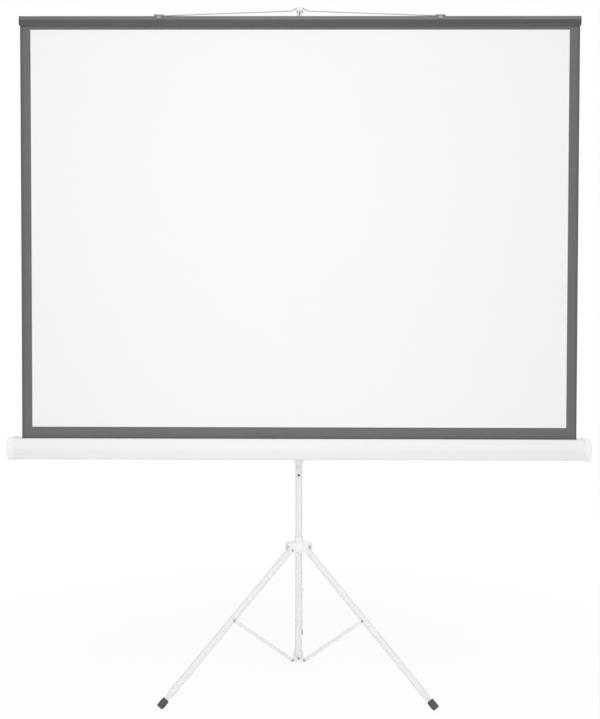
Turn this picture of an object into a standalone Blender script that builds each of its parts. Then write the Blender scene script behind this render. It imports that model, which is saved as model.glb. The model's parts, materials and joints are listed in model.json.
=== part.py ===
"""Tripod projector screen, 1500 mm wide viewing area, standing open with its screen raised.

Metres, +Z up. The front faces -Y. The origin is on the floor, at the centre of the footprint.
"""

import math

import bmesh
import bpy
from mathutils import Matrix, Vector

OBJECT_NAME = "tripod_projector_screen"

# Gaps and mesh fineness
GAP = 0.0003
MERGE = 0.00001
FLAT_ANGLE = math.radians(0.5)
SHARP_ANGLE = math.radians(40)
ROUND_STEPS = 32
SMALL_STEPS = 16
ARC_STEPS = 5
LONG_CUT = 0.1

# The mast axis stands behind the centre of the footprint
MAST_Y = -0.1060

# Screen fabric and its top bar, whose front has a ridge between two leaning faces
VIEW_WIDTH = 1.500
BORDER = 0.029
FABRIC_WIDTH = VIEW_WIDTH + 2 * BORDER
FABRIC_THICKNESS = 0.0006
FABRIC_BOTTOM_Z = 0.684
SCREEN_Y = -0.075
BAR_BOTTOM_Z = 1.8644
BAR_HEIGHT = 0.0251
BAR_DEPTH = 0.013
BAR_LENGTH = FABRIC_WIDTH
BAR_CAP = 0.0016
BAR_RIDGE_DOWN = 0.0112
BAR_RIDGE_ROUND = 0.0008
BAR_TOP_SETBACK = 0.0036
BAR_FOOT_SETBACK = 0.0022
BAR_EDGE_ROUND = 0.0013
SLOT_DEPTH = 0.004
SLOT_HALF = 0.0007
BAR_CENTRE_Z = BAR_BOTTOM_Z + BAR_HEIGHT / 2
BAR_TOP_Z = BAR_BOTTOM_Z + BAR_HEIGHT

# Wire bail and its two eyes on the bar
EYE_X = 0.391
EYE_LENGTH = 0.028
EYE_WIDTH = 0.008
EYE_HEIGHT = 0.0041
EYE_BORE = 0.00185
EYE_ROUND = 0.0008
STRAP_WIDTH = 0.010
STRAP_METAL = 0.0012
STRAP_DOWN = 0.0085
STRAP_BOTTOM_Z = BAR_TOP_Z - STRAP_DOWN
BAIL_Z = 1.8912
WIRE_RADIUS = 0.0015
BAIL_END_X = 0.403
BAIL_KNEE_X = 0.375
BAIL_BEND_X = 0.023
BAIL_BEND_UP = 0.0261
BAIL_CREST_X = 0.0094
CREST_Y = -0.045
CREST_Z = 1.9213
BEND_RADIUS = 0.004
KNEE_RADIUS = 0.030

# Case, a formed steel shell with a slot along its top
CASE_LENGTH = 1.626
CASE_Y = -0.067
CASE_Z = 0.6824
CASE_HALF_DEPTH = 0.030
CASE_HALF_HEIGHT = 0.0298
CASE_WALL = 0.001
CREASE_UP = 0.0007
FRONT_SETBACK = 0.010
BACK_FILLET = 0.010
FRONT_FILLET = 0.007
FOOT_FILLET = 0.010
CREASE_FILLET = 0.008
CASE_SLOT_FRONT = -0.014
CASE_SLOT_BACK = -0.002
CASE_SLOT_HALF = 0.782
END_CAP_OUTER_X = 0.8167
END_CAP_INNER_X = 0.799
END_CAP_WALL = 0.0018
END_CAP_FACE = 0.003
END_CAP_ROUND = 0.0026
BOSS_RADIUS = 0.008
BOSS_LENGTH = 0.014

# Spring roller inside the case
ROLLER_Y = -0.0592
ROLLER_RADIUS = 0.0125
ROLLER_WALL = 0.001
ROLLER_HALF = 0.786
ROLL_RADIUS = 0.0152
PLUG_FLANGE_RADIUS = 0.0135
PLUG_FLANGE = 0.003
PLUG_DEPTH = 0.020
PIN_RADIUS = 0.0035
PIN_CLEARANCE = 0.0004
SPINDLE_END_X = -0.600
SPRING_INNER = 0.0050
SPRING_OUTER = 0.0095
SPRING_FROM_X = -0.755
SPRING_TO_X = -0.615

# Mast: main tube, chromed extension tube and the collar between them
TUBE_RADIUS = 0.010
TUBE_WALL = 0.0012
TUBE_BOTTOM_Z = 0.0655
TUBE_TOP_Z = 1.300
EXTENSION_RADIUS = 0.008
EXTENSION_WALL = 0.0012
EXTENSION_BOTTOM_Z = 1.155
EXTENSION_TOP_Z = 1.9365
END_PLUG_FLANGE = 0.006
END_PLUG_SPIGOT = 0.015
COLLAR_RADIUS = 0.014
COLLAR_BOTTOM_Z = 1.262
COLLAR_TOP_Z = 1.308
COLLAR_MOUTH_RADIUS = 0.0115
COLLAR_TAPER = 0.004
COLLAR_KNOB_Z = 1.280

# Clamping knobs, alike on the collar and the carriage
KNOB_RADIUS = 0.0135
KNOB_LOBE = 0.0013
KNOB_LOBES = 7
KNOB_POINTS = 56
KNOB_THICKNESS = 0.012
KNOB_BOSS_HALF = 0.0085
KNOB_STUD_RADIUS = 0.003
KNOB_HOLE_RADIUS = 0.0034
KNOB_HUB_RADIUS = 0.006
KNOB_HUB_PROUD = 0.0008
KNOB_STAND_OFF = 0.0012
KNOB_BOSS_BACK = 0.024
KNOB_BOSS_ROUND = 0.0015
KNOB_BORE_FROM = 0.007

# Hook on the extension tube
HOOK_CAP_RADIUS = 0.0104
HOOK_CAP_BOTTOM_Z = 1.925
HOOK_TOP_Z = 1.9405
HOOK_CAP_CHAMFER = 0.0015
HOOK_HALF_WIDTH = 0.0074
HOOK_ROOT_Y = -0.0085
HOOK_SHOULDER_Y = -0.0120
HOOK_NOSE_Y = -0.0405
HOOK_NOSE_Z = 1.9261
HOOK_THROAT_Y = -0.0430
HOOK_THROAT_Z = 1.9240
HOOK_SKIN = 0.0002
LIP_HALF_WIDTH = 0.0092
LIP_FRONT_Y = -0.0514
LIP_BACK_Y = -0.0477
LIP_BOTTOM_Z = 1.9100
LIP_CHIN_Z = 1.9128
LIP_TOP_Z = 1.9243
LIP_ROUND = 0.0008
SEAT_Z = CREST_Z - WIRE_RADIUS - GAP

# Carriage that carries the case on the mast
CARRIAGE_RADIUS = 0.0159
CARRIAGE_TOP_Z = 0.735
CARRIAGE_BOTTOM_Z = 0.6305
CARRIAGE_CHAMFER = 0.001
CARRIAGE_FOOT = (
    (CARRIAGE_RADIUS, 0.6424),
    (0.0147, 0.6412),
    (0.0138, 0.6352),
    (0.0112, CARRIAGE_BOTTOM_Z),
)
SLIDE_BORE = TUBE_RADIUS + GAP
BOSS_BITE = 0.001
CARRIAGE_KNOB_Z = 0.708
SWIVEL_BOSS_RADIUS = 0.012
SWIVEL_BOSS_Y = -0.0262
SWIVEL_HOLE_RADIUS = 0.0042
SWIVEL_HOLE_END_Y = -0.0115
BOLT_RADIUS = 0.004
BOLT_HEAD_RADIUS = 0.0085
BOLT_HEAD = 0.0035
BRACKET_FACE_Y = -0.0285
BRACKET_BACK_Y = -0.0265
BRACKET_FOOT_Y = -0.0367
BRACKET_METAL = 0.0017
BRACKET_CROWN_HALF = 0.0135
BRACKET_FOOT_HALF = 0.0195
BRACKET_HALF_LENGTH = 0.045

# Snap button that holds the folded legs
SNAP_Z = 0.5993
SNAP_RADIUS = 0.0034
SNAP_HOLE_RADIUS = 0.0038
SNAP_PROUD = 0.004
SNAP_FLANGE_RADIUS = 0.0045
SNAP_FLANGE_OUTER = 0.0072
SNAP_FLANGE_INNER = 0.0062
SNAP_BACK = 0.0052
SNAP_DOME = ((0.5, 0.0002), (0.85, 0.0009), (1.0, 0.0022))
SPRING_LEAF = 0.0006
SPRING_HALF_WIDTH = 0.004
SPRING_LINE = ((-0.0015, 0.006), (-0.0015, -0.010), (0.0024, -0.042), (0.0066, -0.010), (0.0066, 0.006))

# Leg yoke sliding on the mast
LEG_TILT = math.radians(46.4)
LEG_PIVOT_R = 0.0275
LEG_PIVOT_Z = 0.3845
YOKE_BOTTOM_Z = 0.3771
YOKE_TOP_Z = 0.4071
YOKE_RING_RADIUS = 0.0152
YOKE_COLLAR_RADIUS = 0.0125
YOKE_COLLAR_TOP_Z = 0.4199
YOKE_ARM_HALF = 0.0125
YOKE_ARM_FROM = 0.006
YOKE_ARM_REACH = 0.0375
YOKE_ARM_ROUND = 0.007
YOKE_EDGE_ROUND = 0.0012
YOKE_CHAMFER = 0.0006
YOKE_SLOT_FROM = 0.0155
YOKE_SLOT_HALF = 0.0099
YOKE_ROOF_Z = LEG_PIVOT_Z + 0.0123
YOKE_BORE = 0.0115
BUSH_OUTER = 0.0112
BUSH_INNER = 0.0102
YOKE_PIN_RADIUS = 0.0024
YOKE_PIN_HEAD = 0.0036
YOKE_BORE_END = 0.0115
HEAD_HEIGHT = 0.0015
HEAD_DOME = ((0.55, 0.85), (0.9, 0.4))

# Legs
LEG_RADIUS = 0.0095
LEG_WALL = 0.0012
LEG_OVERRUN = 0.007
LEG_LENGTH = 0.5550
FOOT_LENGTH = 0.0265
FOOT_RADIUS = 0.010
FOOT_TOP_RADIUS = 0.0096
FOOT_BORE_DEPTH = 0.018
FOOT_CHAMFER = 0.0012
NECK = 0.006
SWAGE = 0.014
SWAGE_END = 0.002
SWAGE_RADIUS = 0.0074
SPIGOT_RADIUS = 0.0059
SPIGOT_INSIDE = 0.020
SPIGOT_CHAMFER = 0.001
TOP_PLUG_RIM = 0.0015
TOP_PLUG_DOME = 0.002
TOP_PLUG_SPIGOT = 0.0035
PIN_HOLE_EXTRA = 0.0002
BRACE_JOINT = 0.2545
STUD_RADIUS = 0.002
STUD_HEAD = 0.0038
LEG_STEPS = 24

# Hub at the foot of the mast and the braces
HUB_PIVOT_Z = 0.0672
HUB_PIVOT_R = LEG_PIVOT_R
HUB_BOTTOM_Z = 0.0602
HUB_TOP_Z = 0.086
HUB_RADIUS = 0.0135
HUB_RIM_RADIUS = 0.0118
HUB_CHAMFER = 0.001
BRACE_WIDTH = 0.011
BRACE_METAL = 0.002
BRACE_OFFSET = LEG_RADIUS + GAP + BRACE_METAL / 2
EAR_METAL = 0.002
EAR_OFFSET = BRACE_OFFSET + BRACE_METAL / 2 + GAP + EAR_METAL / 2
EAR_HEIGHT = 0.0145
EAR_ROUND = 0.002
EAR_STEP = 0.00002
RIVET_RADIUS = 0.0019
RIVET_HEAD = 0.0038
HUB_SCREW_Z = 0.0702
HUB_SCREW_HEAD = 0.0032
HUB_SCREW_RADIUS = 0.0016
HUB_SCREW_REACH = 0.0065

# Each leg: its direction from the mast, and the side its brace lies on
SPREAD = math.sin(math.radians(60))
LEGS = {
    "left": (Vector((-SPREAD, -0.5, 0)), Vector((0.5, -SPREAD, 0))),
    "right": (Vector((SPREAD, -0.5, 0)), Vector((-0.5, -SPREAD, 0))),
    "rear": (Vector((0, 1, 0)), Vector((-1, 0, 0))),
}

UP = Vector((0, 0, 1))
ALONG_X = (math.pi / 2, 0, math.pi / 2)
LAY_ALONG_X = (0, math.pi / 2, 0)
LAY_ALONG_FRONT = (math.pi / 2, 0, 0)
LAY_ALONG_BACK = (-math.pi / 2, 0, 0)


def clear_scene():
    """Removes every object of the open scene."""
    for obj in list(bpy.data.objects):
        bpy.data.objects.remove(obj, do_unlink=True)


def new_collection(name):
    """A collection linked to the scene."""
    collection = bpy.data.collections.new(name)
    bpy.context.scene.collection.children.link(collection)
    return collection


clear_scene()
PARTS = new_collection(OBJECT_NAME)
CUTTERS = new_collection("cutters")


def to_linear(channel):
    """One sRGB channel from 0 to 1 as linear light."""
    if channel <= 0.04045:
        return channel / 12.92
    return ((channel + 0.055) / 1.055) ** 2.4


def new_material(name, red, green, blue, roughness, metallic=0.0):
    """A Principled material from an sRGB colour in 0 to 255."""
    mat = bpy.data.materials.new(name)
    mat.use_nodes = True
    shader = mat.node_tree.nodes["Principled BSDF"]
    colour = [to_linear(value / 255) for value in (red, green, blue)]
    shader.inputs["Base Color"].default_value = (*colour, 1)
    shader.inputs["Roughness"].default_value = roughness
    shader.inputs["Metallic"].default_value = metallic
    mat.diffuse_color = (*colour, 1)
    return mat


FINISHES = {
    "white_powder_coat": new_material("white_powder_coat", 238, 238, 236, 0.42),
    "white_plastic": new_material("white_plastic", 234, 234, 232, 0.38),
    "chromed_steel": new_material("chromed_steel", 205, 207, 210, 0.12, 1.0),
    "zinc_steel": new_material("zinc_steel", 150, 152, 155, 0.32, 1.0),
    "dark_steel": new_material("dark_steel", 70, 71, 73, 0.40, 1.0),
    "black_rubber": new_material("black_rubber", 38, 38, 40, 0.70),
    "black_plastic": new_material("black_plastic", 34, 34, 36, 0.45),
    "dark_bar": new_material("dark_bar", 98, 98, 100, 0.35),
    "screen_fabric": new_material("screen_fabric", 241, 241, 241, 0.85),
    "nylon": new_material("nylon", 214, 212, 204, 0.50),
}


def new_frame(name, parent, location=(0, 0, 0), axes=None):
    """An empty that holds a group of pieces. axes are its local X, Y and Z in its parent's frame."""
    empty = bpy.data.objects.new(name, None)
    PARTS.objects.link(empty)
    empty.parent = parent
    empty.empty_display_size = 0.02
    turn = Matrix.Identity(3)
    if axes:
        turn = Matrix(axes).transposed()
    empty.matrix_basis = Matrix.Translation(location) @ turn.to_4x4()
    return empty


def place(obj, finish, parent, location, rotation):
    """Puts a new object in the parts' collection under its parent."""
    PARTS.objects.link(obj)
    obj.parent = parent
    obj.location = location
    obj.rotation_euler = rotation
    obj.data.materials.append(FINISHES[finish])
    return obj


def shade(mesh, angle=35):
    """Smooth shading with edges sharper than the angle kept sharp."""
    mesh.shade_smooth()
    mesh.set_sharp_from_angle(angle=math.radians(angle))


def turned(
    name, finish, parent, profile, closed=False, location=(0, 0, 0), rotation=(0, 0, 0), steps=ROUND_STEPS
):
    """A solid of revolution about local Z. The profile's (radius, height) points run down the outer side.

    A closed profile is a ring's section; an open one starts and ends on the axis.
    """
    mesh = bpy.data.meshes.new(name)
    bm = bmesh.new()
    verts = [bm.verts.new((radius, 0, height)) for radius, height in profile]
    for first, second in zip(verts, verts[1:]):
        bm.edges.new((first, second))
    if closed:
        bm.edges.new((verts[-1], verts[0]))
    bm.to_mesh(mesh)
    bm.free()
    obj = place(bpy.data.objects.new(name, mesh), finish, parent, location, rotation)
    screw = obj.modifiers.new("turn", "SCREW")
    screw.steps = steps
    screw.render_steps = steps
    screw.use_merge_vertices = True
    screw.merge_threshold = MERGE
    screw.use_smooth_shade = True
    return obj


def rod_profile(radius, bottom, top, chamfer=0.0003):
    """A plain round bar's profile with small chamfers."""
    return [
        (0, top),
        (radius - chamfer, top),
        (radius, top - chamfer),
        (radius, bottom + chamfer),
        (radius - chamfer, bottom),
        (0, bottom),
    ]


def ring_profile(outer, inner, bottom, top):
    """A plain tube's section."""
    return [(outer, top), (outer, bottom), (inner, bottom), (inner, top)]


def headed_profile(shank, head, bottom, top, head_height):
    """A rivet's profile: its low domed head sits above top, its shank reaches down to bottom."""
    dome = [(head * out, top + head_height * up) for out, up in HEAD_DOME]
    return [(0, top + head_height), *dome, (head, top), (shank, top), (shank, bottom), (0, bottom)]


def block(name, finish, parent, low, high, bevel=0.0, segments=2, rotation=(0, 0, 0)):
    """A box between two corners of its parent's frame, with round edges where bevel is set."""
    low = Vector(low)
    high = Vector(high)
    mesh = bpy.data.meshes.new(name)
    bm = bmesh.new()
    bmesh.ops.create_cube(bm, size=1, matrix=Matrix.Diagonal((*(high - low), 1)))
    bm.to_mesh(mesh)
    bm.free()
    obj = place(bpy.data.objects.new(name, mesh), finish, parent, (low + high) / 2, rotation)
    if bevel:
        add_bevel(obj, bevel, segments)
    return obj


def add_bevel(obj, width, segments=2, angle=30):
    """Round edges on a piece."""
    bevel = obj.modifiers.new("round_edges", "BEVEL")
    bevel.width = width
    bevel.segments = segments
    bevel.limit_method = "ANGLE"
    bevel.angle_limit = math.radians(angle)


def round_edges_where(obj, width, chosen):
    """Rounds the sharp edges whose two ends are both chosen by their places."""
    bm = bmesh.new()
    bm.from_mesh(obj.data)
    bmesh.ops.dissolve_limit(bm, angle_limit=FLAT_ANGLE, verts=bm.verts, edges=bm.edges)
    edges = [
        edge
        for edge in bm.edges
        if edge.calc_face_angle(0) > SHARP_ANGLE and all(chosen(vert.co) for vert in edge.verts)
    ]
    bmesh.ops.bevel(bm, geom=edges, offset=width, segments=3, profile=0.5, affect="EDGES", material=-1)
    bm.to_mesh(obj.data)
    bm.free()


def rounded_outline(corners, closed=True):
    """Corner points (x, y, radius) as an outline whose corners are arcs."""
    points = []
    count = len(corners)
    for index, (x, y, radius) in enumerate(corners):
        here = Vector((x, y))
        ends = not closed and index in (0, count - 1)
        if ends or radius == 0:
            points.append(here)
            continue
        before = Vector(corners[index - 1][:2]) - here
        after = Vector(corners[(index + 1) % count][:2]) - here
        half = before.angle(after) / 2
        back_off = radius / math.tan(half)
        start = here + before.normalized() * back_off
        middle = here + (before.normalized() + after.normalized()).normalized() * radius / math.sin(half)
        turn = math.pi - 2 * half
        sign = 1 if before.x * after.y - before.y * after.x < 0 else -1
        for step in range(ARC_STEPS + 1):
            swing = Matrix.Rotation(sign * turn * step / ARC_STEPS, 2)
            points.append(middle + swing @ (start - middle))
    return points


def circle_outline(radius, centre=(0, 0), count=SMALL_STEPS):
    """Points round a circle."""
    return [
        Vector((centre[0] + radius * math.cos(a), centre[1] + radius * math.sin(a)))
        for a in (2 * math.pi * i / count for i in range(count))
    ]


def extruded(name, finish, parent, outline, half_length, holes=(), location=(0, 0, 0), rotation=ALONG_X):
    """A flat outline drawn out both ways along its local Z, as a mesh."""
    curve = bpy.data.curves.new(name, "CURVE")
    curve.dimensions = "2D"
    curve.fill_mode = "BOTH"
    curve.extrude = half_length
    for loop in (outline, *holes):
        spline = curve.splines.new("POLY")
        spline.points.add(len(loop) - 1)
        for point, place_2d in zip(spline.points, loop):
            point.co = (place_2d[0], place_2d[1], 0, 1)
        spline.use_cyclic_u = True
    return curve_as_mesh(name, finish, parent, curve, location, rotation)


def curve_as_mesh(name, finish, parent, curve, location, rotation):
    """A curve's evaluated shape, with its caps welded, as a mesh object of the same name."""
    guide = bpy.data.objects.new(name + "_guide", curve)
    CUTTERS.objects.link(guide)
    evaluated = guide.evaluated_get(bpy.context.evaluated_depsgraph_get())
    mesh = bpy.data.meshes.new_from_object(evaluated)
    mesh.name = name
    bpy.data.objects.remove(guide, do_unlink=True)
    bpy.data.curves.remove(curve)
    bm = bmesh.new()
    bm.from_mesh(mesh)
    bmesh.ops.remove_doubles(bm, verts=bm.verts, dist=MERGE)
    bmesh.ops.recalc_face_normals(bm, faces=bm.faces)
    bm.to_mesh(mesh)
    bm.free()
    mesh.materials.clear()
    shade(mesh)
    return place(bpy.data.objects.new(name, mesh), finish, parent, location, rotation)


def as_tool(obj):
    """Makes a piece a hidden Boolean operand."""
    PARTS.objects.unlink(obj)
    CUTTERS.objects.link(obj)
    obj.hide_render = True
    obj.display_type = "WIRE"
    return obj


def combine(target, tool, operation):
    """Adds a Boolean of the tool to the target."""
    boolean = target.modifiers.new(tool.name, "BOOLEAN")
    boolean.operation = operation
    boolean.solver = "EXACT"
    boolean.object = as_tool(tool)


def cut(target, tool):
    """Cuts the tool's shape out of the target."""
    combine(target, tool, "DIFFERENCE")


def fuse(target, tool):
    """Joins the tool's shape to the target."""
    combine(target, tool, "UNION")


def drill(target, parent, name, radius, start, end, steps=SMALL_STEPS):
    """Cuts a round hole between two points of the parent's frame."""
    start = Vector(start)
    end = Vector(end)
    turn = UP.rotation_difference(end - start).to_euler()
    profile = rod_profile(radius, 0, (end - start).length, 0.0001)
    cut(target, turned(name, "dark_steel", parent, profile, False, start, turn, steps))


# Leg geometry shared by the yoke, the legs and the braces


def leg_axes(key):
    """Local X, Y and Z of a leg's frame: X towards its brace, Z up along the leg."""
    radial, side = LEGS[key]
    along = -radial * math.sin(LEG_TILT) + UP * math.cos(LEG_TILT)
    return side, along.cross(side), along


def upright_axes(key):
    """Local X, Y and Z of a leg's upright frame: X outward from the mast, Z up."""
    radial = LEGS[key][0]
    return radial, UP.cross(radial), UP


def side_sign(key):
    """+1 where the brace lies on the upright frame's +Y side."""
    radial, side = LEGS[key]
    return 1 if UP.cross(radial).dot(side) > 0 else -1


def brace_vector():
    """Outward and upward run of a brace, from its hub pivot to its joint on the leg."""
    out = LEG_PIVOT_R + BRACE_JOINT * math.sin(LEG_TILT) - HUB_PIVOT_R
    up = LEG_PIVOT_Z - BRACE_JOINT * math.cos(LEG_TILT) - HUB_PIVOT_Z
    return Vector((out, 0, up))


# Mast


def make_main_tube(mast):
    """White main tube with its button and knob holes."""
    inner = TUBE_RADIUS - TUBE_WALL
    section = ring_profile(TUBE_RADIUS, inner, TUBE_BOTTOM_Z, TUBE_TOP_Z)
    tube = turned("main_tube", "white_powder_coat", mast, section, True)
    out = 2 * TUBE_RADIUS
    drill(tube, mast, "button_hole", SNAP_HOLE_RADIUS, (0, 0, SNAP_Z), (0, -out, SNAP_Z))
    drill(tube, mast, "knob_hole", KNOB_HOLE_RADIUS, (0, 0, COLLAR_KNOB_Z), (0, out, COLLAR_KNOB_Z))
    screw_hole = HUB_SCREW_RADIUS + PIN_HOLE_EXTRA
    drill(tube, mast, "tube_screw_hole", screw_hole, (0, 0, HUB_SCREW_Z), (0, -out, HUB_SCREW_Z))


def make_hub(mast):
    """Socket at the mast's foot with one ear for each brace, stepped where two ears cross."""
    profile = [
        (0, TUBE_BOTTOM_Z - GAP),
        (SLIDE_BORE, TUBE_BOTTOM_Z - GAP),
        (SLIDE_BORE, HUB_TOP_Z),
        (HUB_RIM_RADIUS, HUB_TOP_Z),
        (HUB_RADIUS, HUB_TOP_Z - (HUB_TOP_Z - HUB_BOTTOM_Z) / 3),
        (HUB_RADIUS, HUB_BOTTOM_Z + HUB_CHAMFER),
        (HUB_RADIUS - HUB_CHAMFER, HUB_BOTTOM_Z),
        (0, HUB_BOTTOM_Z),
    ]
    hub = turned("mast_hub", "white_powder_coat", mast, profile)
    for step, key in enumerate(LEGS):
        frame = new_frame(key + "_hub_frame", mast, (0, 0, 0), upright_axes(key))
        sign = side_sign(key)
        reach = HUB_PIVOT_R + BRACE_WIDTH / 2
        low = HUB_PIVOT_Z - BRACE_WIDTH / 2
        corners = [
            (0, low, 0),
            (reach, low, BRACE_WIDTH / 2 - GAP),
            (reach, low + BRACE_WIDTH, BRACE_WIDTH / 2 - GAP),
            (HUB_RADIUS, low + EAR_HEIGHT, EAR_ROUND),
            (0, low + EAR_HEIGHT, 0),
        ]
        hole = circle_outline(RIVET_RADIUS + PIN_HOLE_EXTRA, (HUB_PIVOT_R, HUB_PIVOT_Z))
        ear = extruded(
            key + "_ear",
            "white_powder_coat",
            frame,
            rounded_outline(corners),
            EAR_METAL / 2,
            [hole],
            (0, sign * EAR_OFFSET, step * EAR_STEP),
            (math.pi / 2, 0, 0),
        )
        fuse(hub, ear)
        make_hub_rivet(key, frame, sign)
    screw_hole = HUB_SCREW_RADIUS + PIN_HOLE_EXTRA
    inside = (0, -TUBE_RADIUS / 2, HUB_SCREW_Z)
    drill(hub, mast, "hub_screw_hole", screw_hole, inside, (0, -2 * TUBE_RADIUS, HUB_SCREW_Z))
    face = (0, -HUB_RADIUS, HUB_SCREW_Z)
    outside = (0, -2 * HUB_RADIUS, HUB_SCREW_Z)
    drill(hub, mast, "hub_screw_seat", HUB_SCREW_HEAD + 2 * PIN_HOLE_EXTRA, face, outside)


def make_hub_rivet(key, frame, sign):
    """Rivet through an ear and the foot of its brace, flush on the leg's side."""
    inner = BRACE_OFFSET - BRACE_METAL / 2
    outer = EAR_OFFSET + EAR_METAL / 2 + GAP
    turned(
        key + "_hub_rivet",
        "zinc_steel",
        frame,
        headed_profile(RIVET_RADIUS, RIVET_HEAD, inner, outer, HEAD_HEIGHT),
        False,
        (HUB_PIVOT_R, 0, HUB_PIVOT_Z),
        (-sign * math.pi / 2, 0, 0),
        SMALL_STEPS,
    )


def make_hub_screw(mast):
    """Screw that fixes the hub on the main tube, seen at its front."""
    seat = HUB_RADIUS + GAP
    profile = headed_profile(HUB_SCREW_RADIUS, HUB_SCREW_HEAD, HUB_SCREW_REACH, seat, HEAD_HEIGHT)
    turned("hub_screw", "dark_steel", mast, profile, False, (0, 0, HUB_SCREW_Z), LAY_ALONG_FRONT, SMALL_STEPS)


def make_top_collar(mast):
    """Moulded collar on the main tube's top, with the boss of the extension's knob."""
    profile = [
        (COLLAR_MOUTH_RADIUS, COLLAR_TOP_Z),
        (COLLAR_RADIUS, COLLAR_TOP_Z - COLLAR_TAPER),
        (COLLAR_RADIUS, COLLAR_BOTTOM_Z + COLLAR_TAPER / 2),
        (COLLAR_RADIUS - COLLAR_TAPER / 4, COLLAR_BOTTOM_Z),
        (SLIDE_BORE, COLLAR_BOTTOM_Z),
        (SLIDE_BORE, TUBE_TOP_Z + GAP),
        (EXTENSION_RADIUS + GAP, TUBE_TOP_Z + GAP),
        (EXTENSION_RADIUS + GAP, COLLAR_TOP_Z),
    ]
    collar = turned("mast_top_collar", "white_plastic", mast, profile, True)
    add_knob_boss(collar, mast, "collar", COLLAR_KNOB_Z)


def add_knob_boss(sleeve, parent, name, height):
    """Square boss behind a sleeve, bored for its knob's stud."""
    low = (-KNOB_BOSS_HALF, SLIDE_BORE + BOSS_BITE, height - KNOB_BOSS_HALF)
    high = (KNOB_BOSS_HALF, KNOB_BOSS_BACK, height + KNOB_BOSS_HALF)
    fuse(sleeve, block(name + "_boss", "white_plastic", parent, low, high, KNOB_BOSS_ROUND))
    start = (0, KNOB_BORE_FROM, height)
    drill(sleeve, parent, name + "_bore", KNOB_HOLE_RADIUS, start, (0, 2 * KNOB_BOSS_BACK, height))


def make_knob(name, parent, height, tip):
    """Lobed clamping knob with its steel stud, turning about Y on the boss behind a sleeve."""
    frame = new_frame(name + "_axis", parent, (0, 0, height))
    face = KNOB_BOSS_BACK + KNOB_STAND_OFF
    outline = []
    for index in range(KNOB_POINTS):
        angle = 2 * math.pi * index / KNOB_POINTS
        radius = KNOB_RADIUS + KNOB_LOBE * math.cos(KNOB_LOBES * angle)
        outline.append((radius * math.cos(angle), radius * math.sin(angle)))
    half = KNOB_THICKNESS / 2
    middle = (0, face + half, 0)
    knob = extruded(name, "black_plastic", frame, outline, half, (), middle, (math.pi / 2, 0, 0))
    start = face - KNOB_HUB_PROUD
    inserts = {
        "_stud": rod_profile(KNOB_STUD_RADIUS, tip, face + half),
        "_hub": rod_profile(KNOB_HUB_RADIUS, start, start + KNOB_THICKNESS),
    }
    for part, profile in inserts.items():
        insert = turned(name + part, "zinc_steel", frame, profile, rotation=LAY_ALONG_BACK, steps=SMALL_STEPS)
        fuse(knob, insert)


def make_snap_button(mast):
    """Sprung black button in the tube's front, and the leaf spring behind it."""
    axes = (Vector((1, 0, 0)), Vector((0, 0, 1)), Vector((0, -1, 0)))
    frame = new_frame("snap_axis", mast, (0, 0, SNAP_Z), axes)
    tip = TUBE_RADIUS + SNAP_PROUD
    profile = [
        (0, tip),
        *[(SNAP_RADIUS * out, tip - down) for out, down in SNAP_DOME],
        (SNAP_RADIUS, SNAP_FLANGE_OUTER),
        (SNAP_FLANGE_RADIUS, SNAP_FLANGE_OUTER),
        (SNAP_FLANGE_RADIUS, SNAP_FLANGE_INNER),
        (SNAP_RADIUS, SNAP_FLANGE_INNER),
        (SNAP_RADIUS, SNAP_BACK),
        (0, SNAP_BACK),
    ]
    turned("snap_button", "black_plastic", frame, profile, False, steps=SMALL_STEPS)
    make_strip("snap_spring", "zinc_steel", mast, SPRING_LINE, SPRING_HALF_WIDTH, SPRING_LEAF, (0, 0, SNAP_Z))


def make_strip(name, finish, parent, line, half_width, metal, location):
    """A bent strip: a line in the YZ plane drawn out along X and given its thickness."""
    mesh = bpy.data.meshes.new(name)
    bm = bmesh.new()
    verts = [bm.verts.new((-half_width, y, z)) for y, z in line]
    edges = [bm.edges.new(pair) for pair in zip(verts, verts[1:])]
    made = bmesh.ops.extrude_edge_only(bm, edges=edges)["geom"]
    moved = [item for item in made if isinstance(item, bmesh.types.BMVert)]
    bmesh.ops.translate(bm, verts=moved, vec=(2 * half_width, 0, 0))
    bm.to_mesh(mesh)
    bm.free()
    obj = place(bpy.data.objects.new(name, mesh), finish, parent, location, (0, 0, 0))
    solid = obj.modifiers.new("metal", "SOLIDIFY")
    solid.thickness = metal
    solid.offset = 0
    solid.use_even_offset = True
    return obj


def make_extension(mast):
    """Chromed extension tube with its guide plug."""
    frame = new_frame("extension_slide", mast)
    inner = EXTENSION_RADIUS - EXTENSION_WALL
    section = ring_profile(EXTENSION_RADIUS, inner, EXTENSION_BOTTOM_Z, EXTENSION_TOP_Z)
    turned("extension_tube", "chromed_steel", frame, section, True)
    flange = TUBE_RADIUS - TUBE_WALL - 2 * PIN_HOLE_EXTRA
    spigot = inner - GAP
    seat = EXTENSION_BOTTOM_Z - GAP
    profile = [
        (0, EXTENSION_BOTTOM_Z + END_PLUG_SPIGOT),
        (spigot, EXTENSION_BOTTOM_Z + END_PLUG_SPIGOT),
        (spigot, seat),
        (flange, seat),
        (flange, seat - END_PLUG_FLANGE),
        (0, seat - END_PLUG_FLANGE),
    ]
    turned("extension_end_plug", "nylon", frame, profile)
    make_hook(frame)


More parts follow.
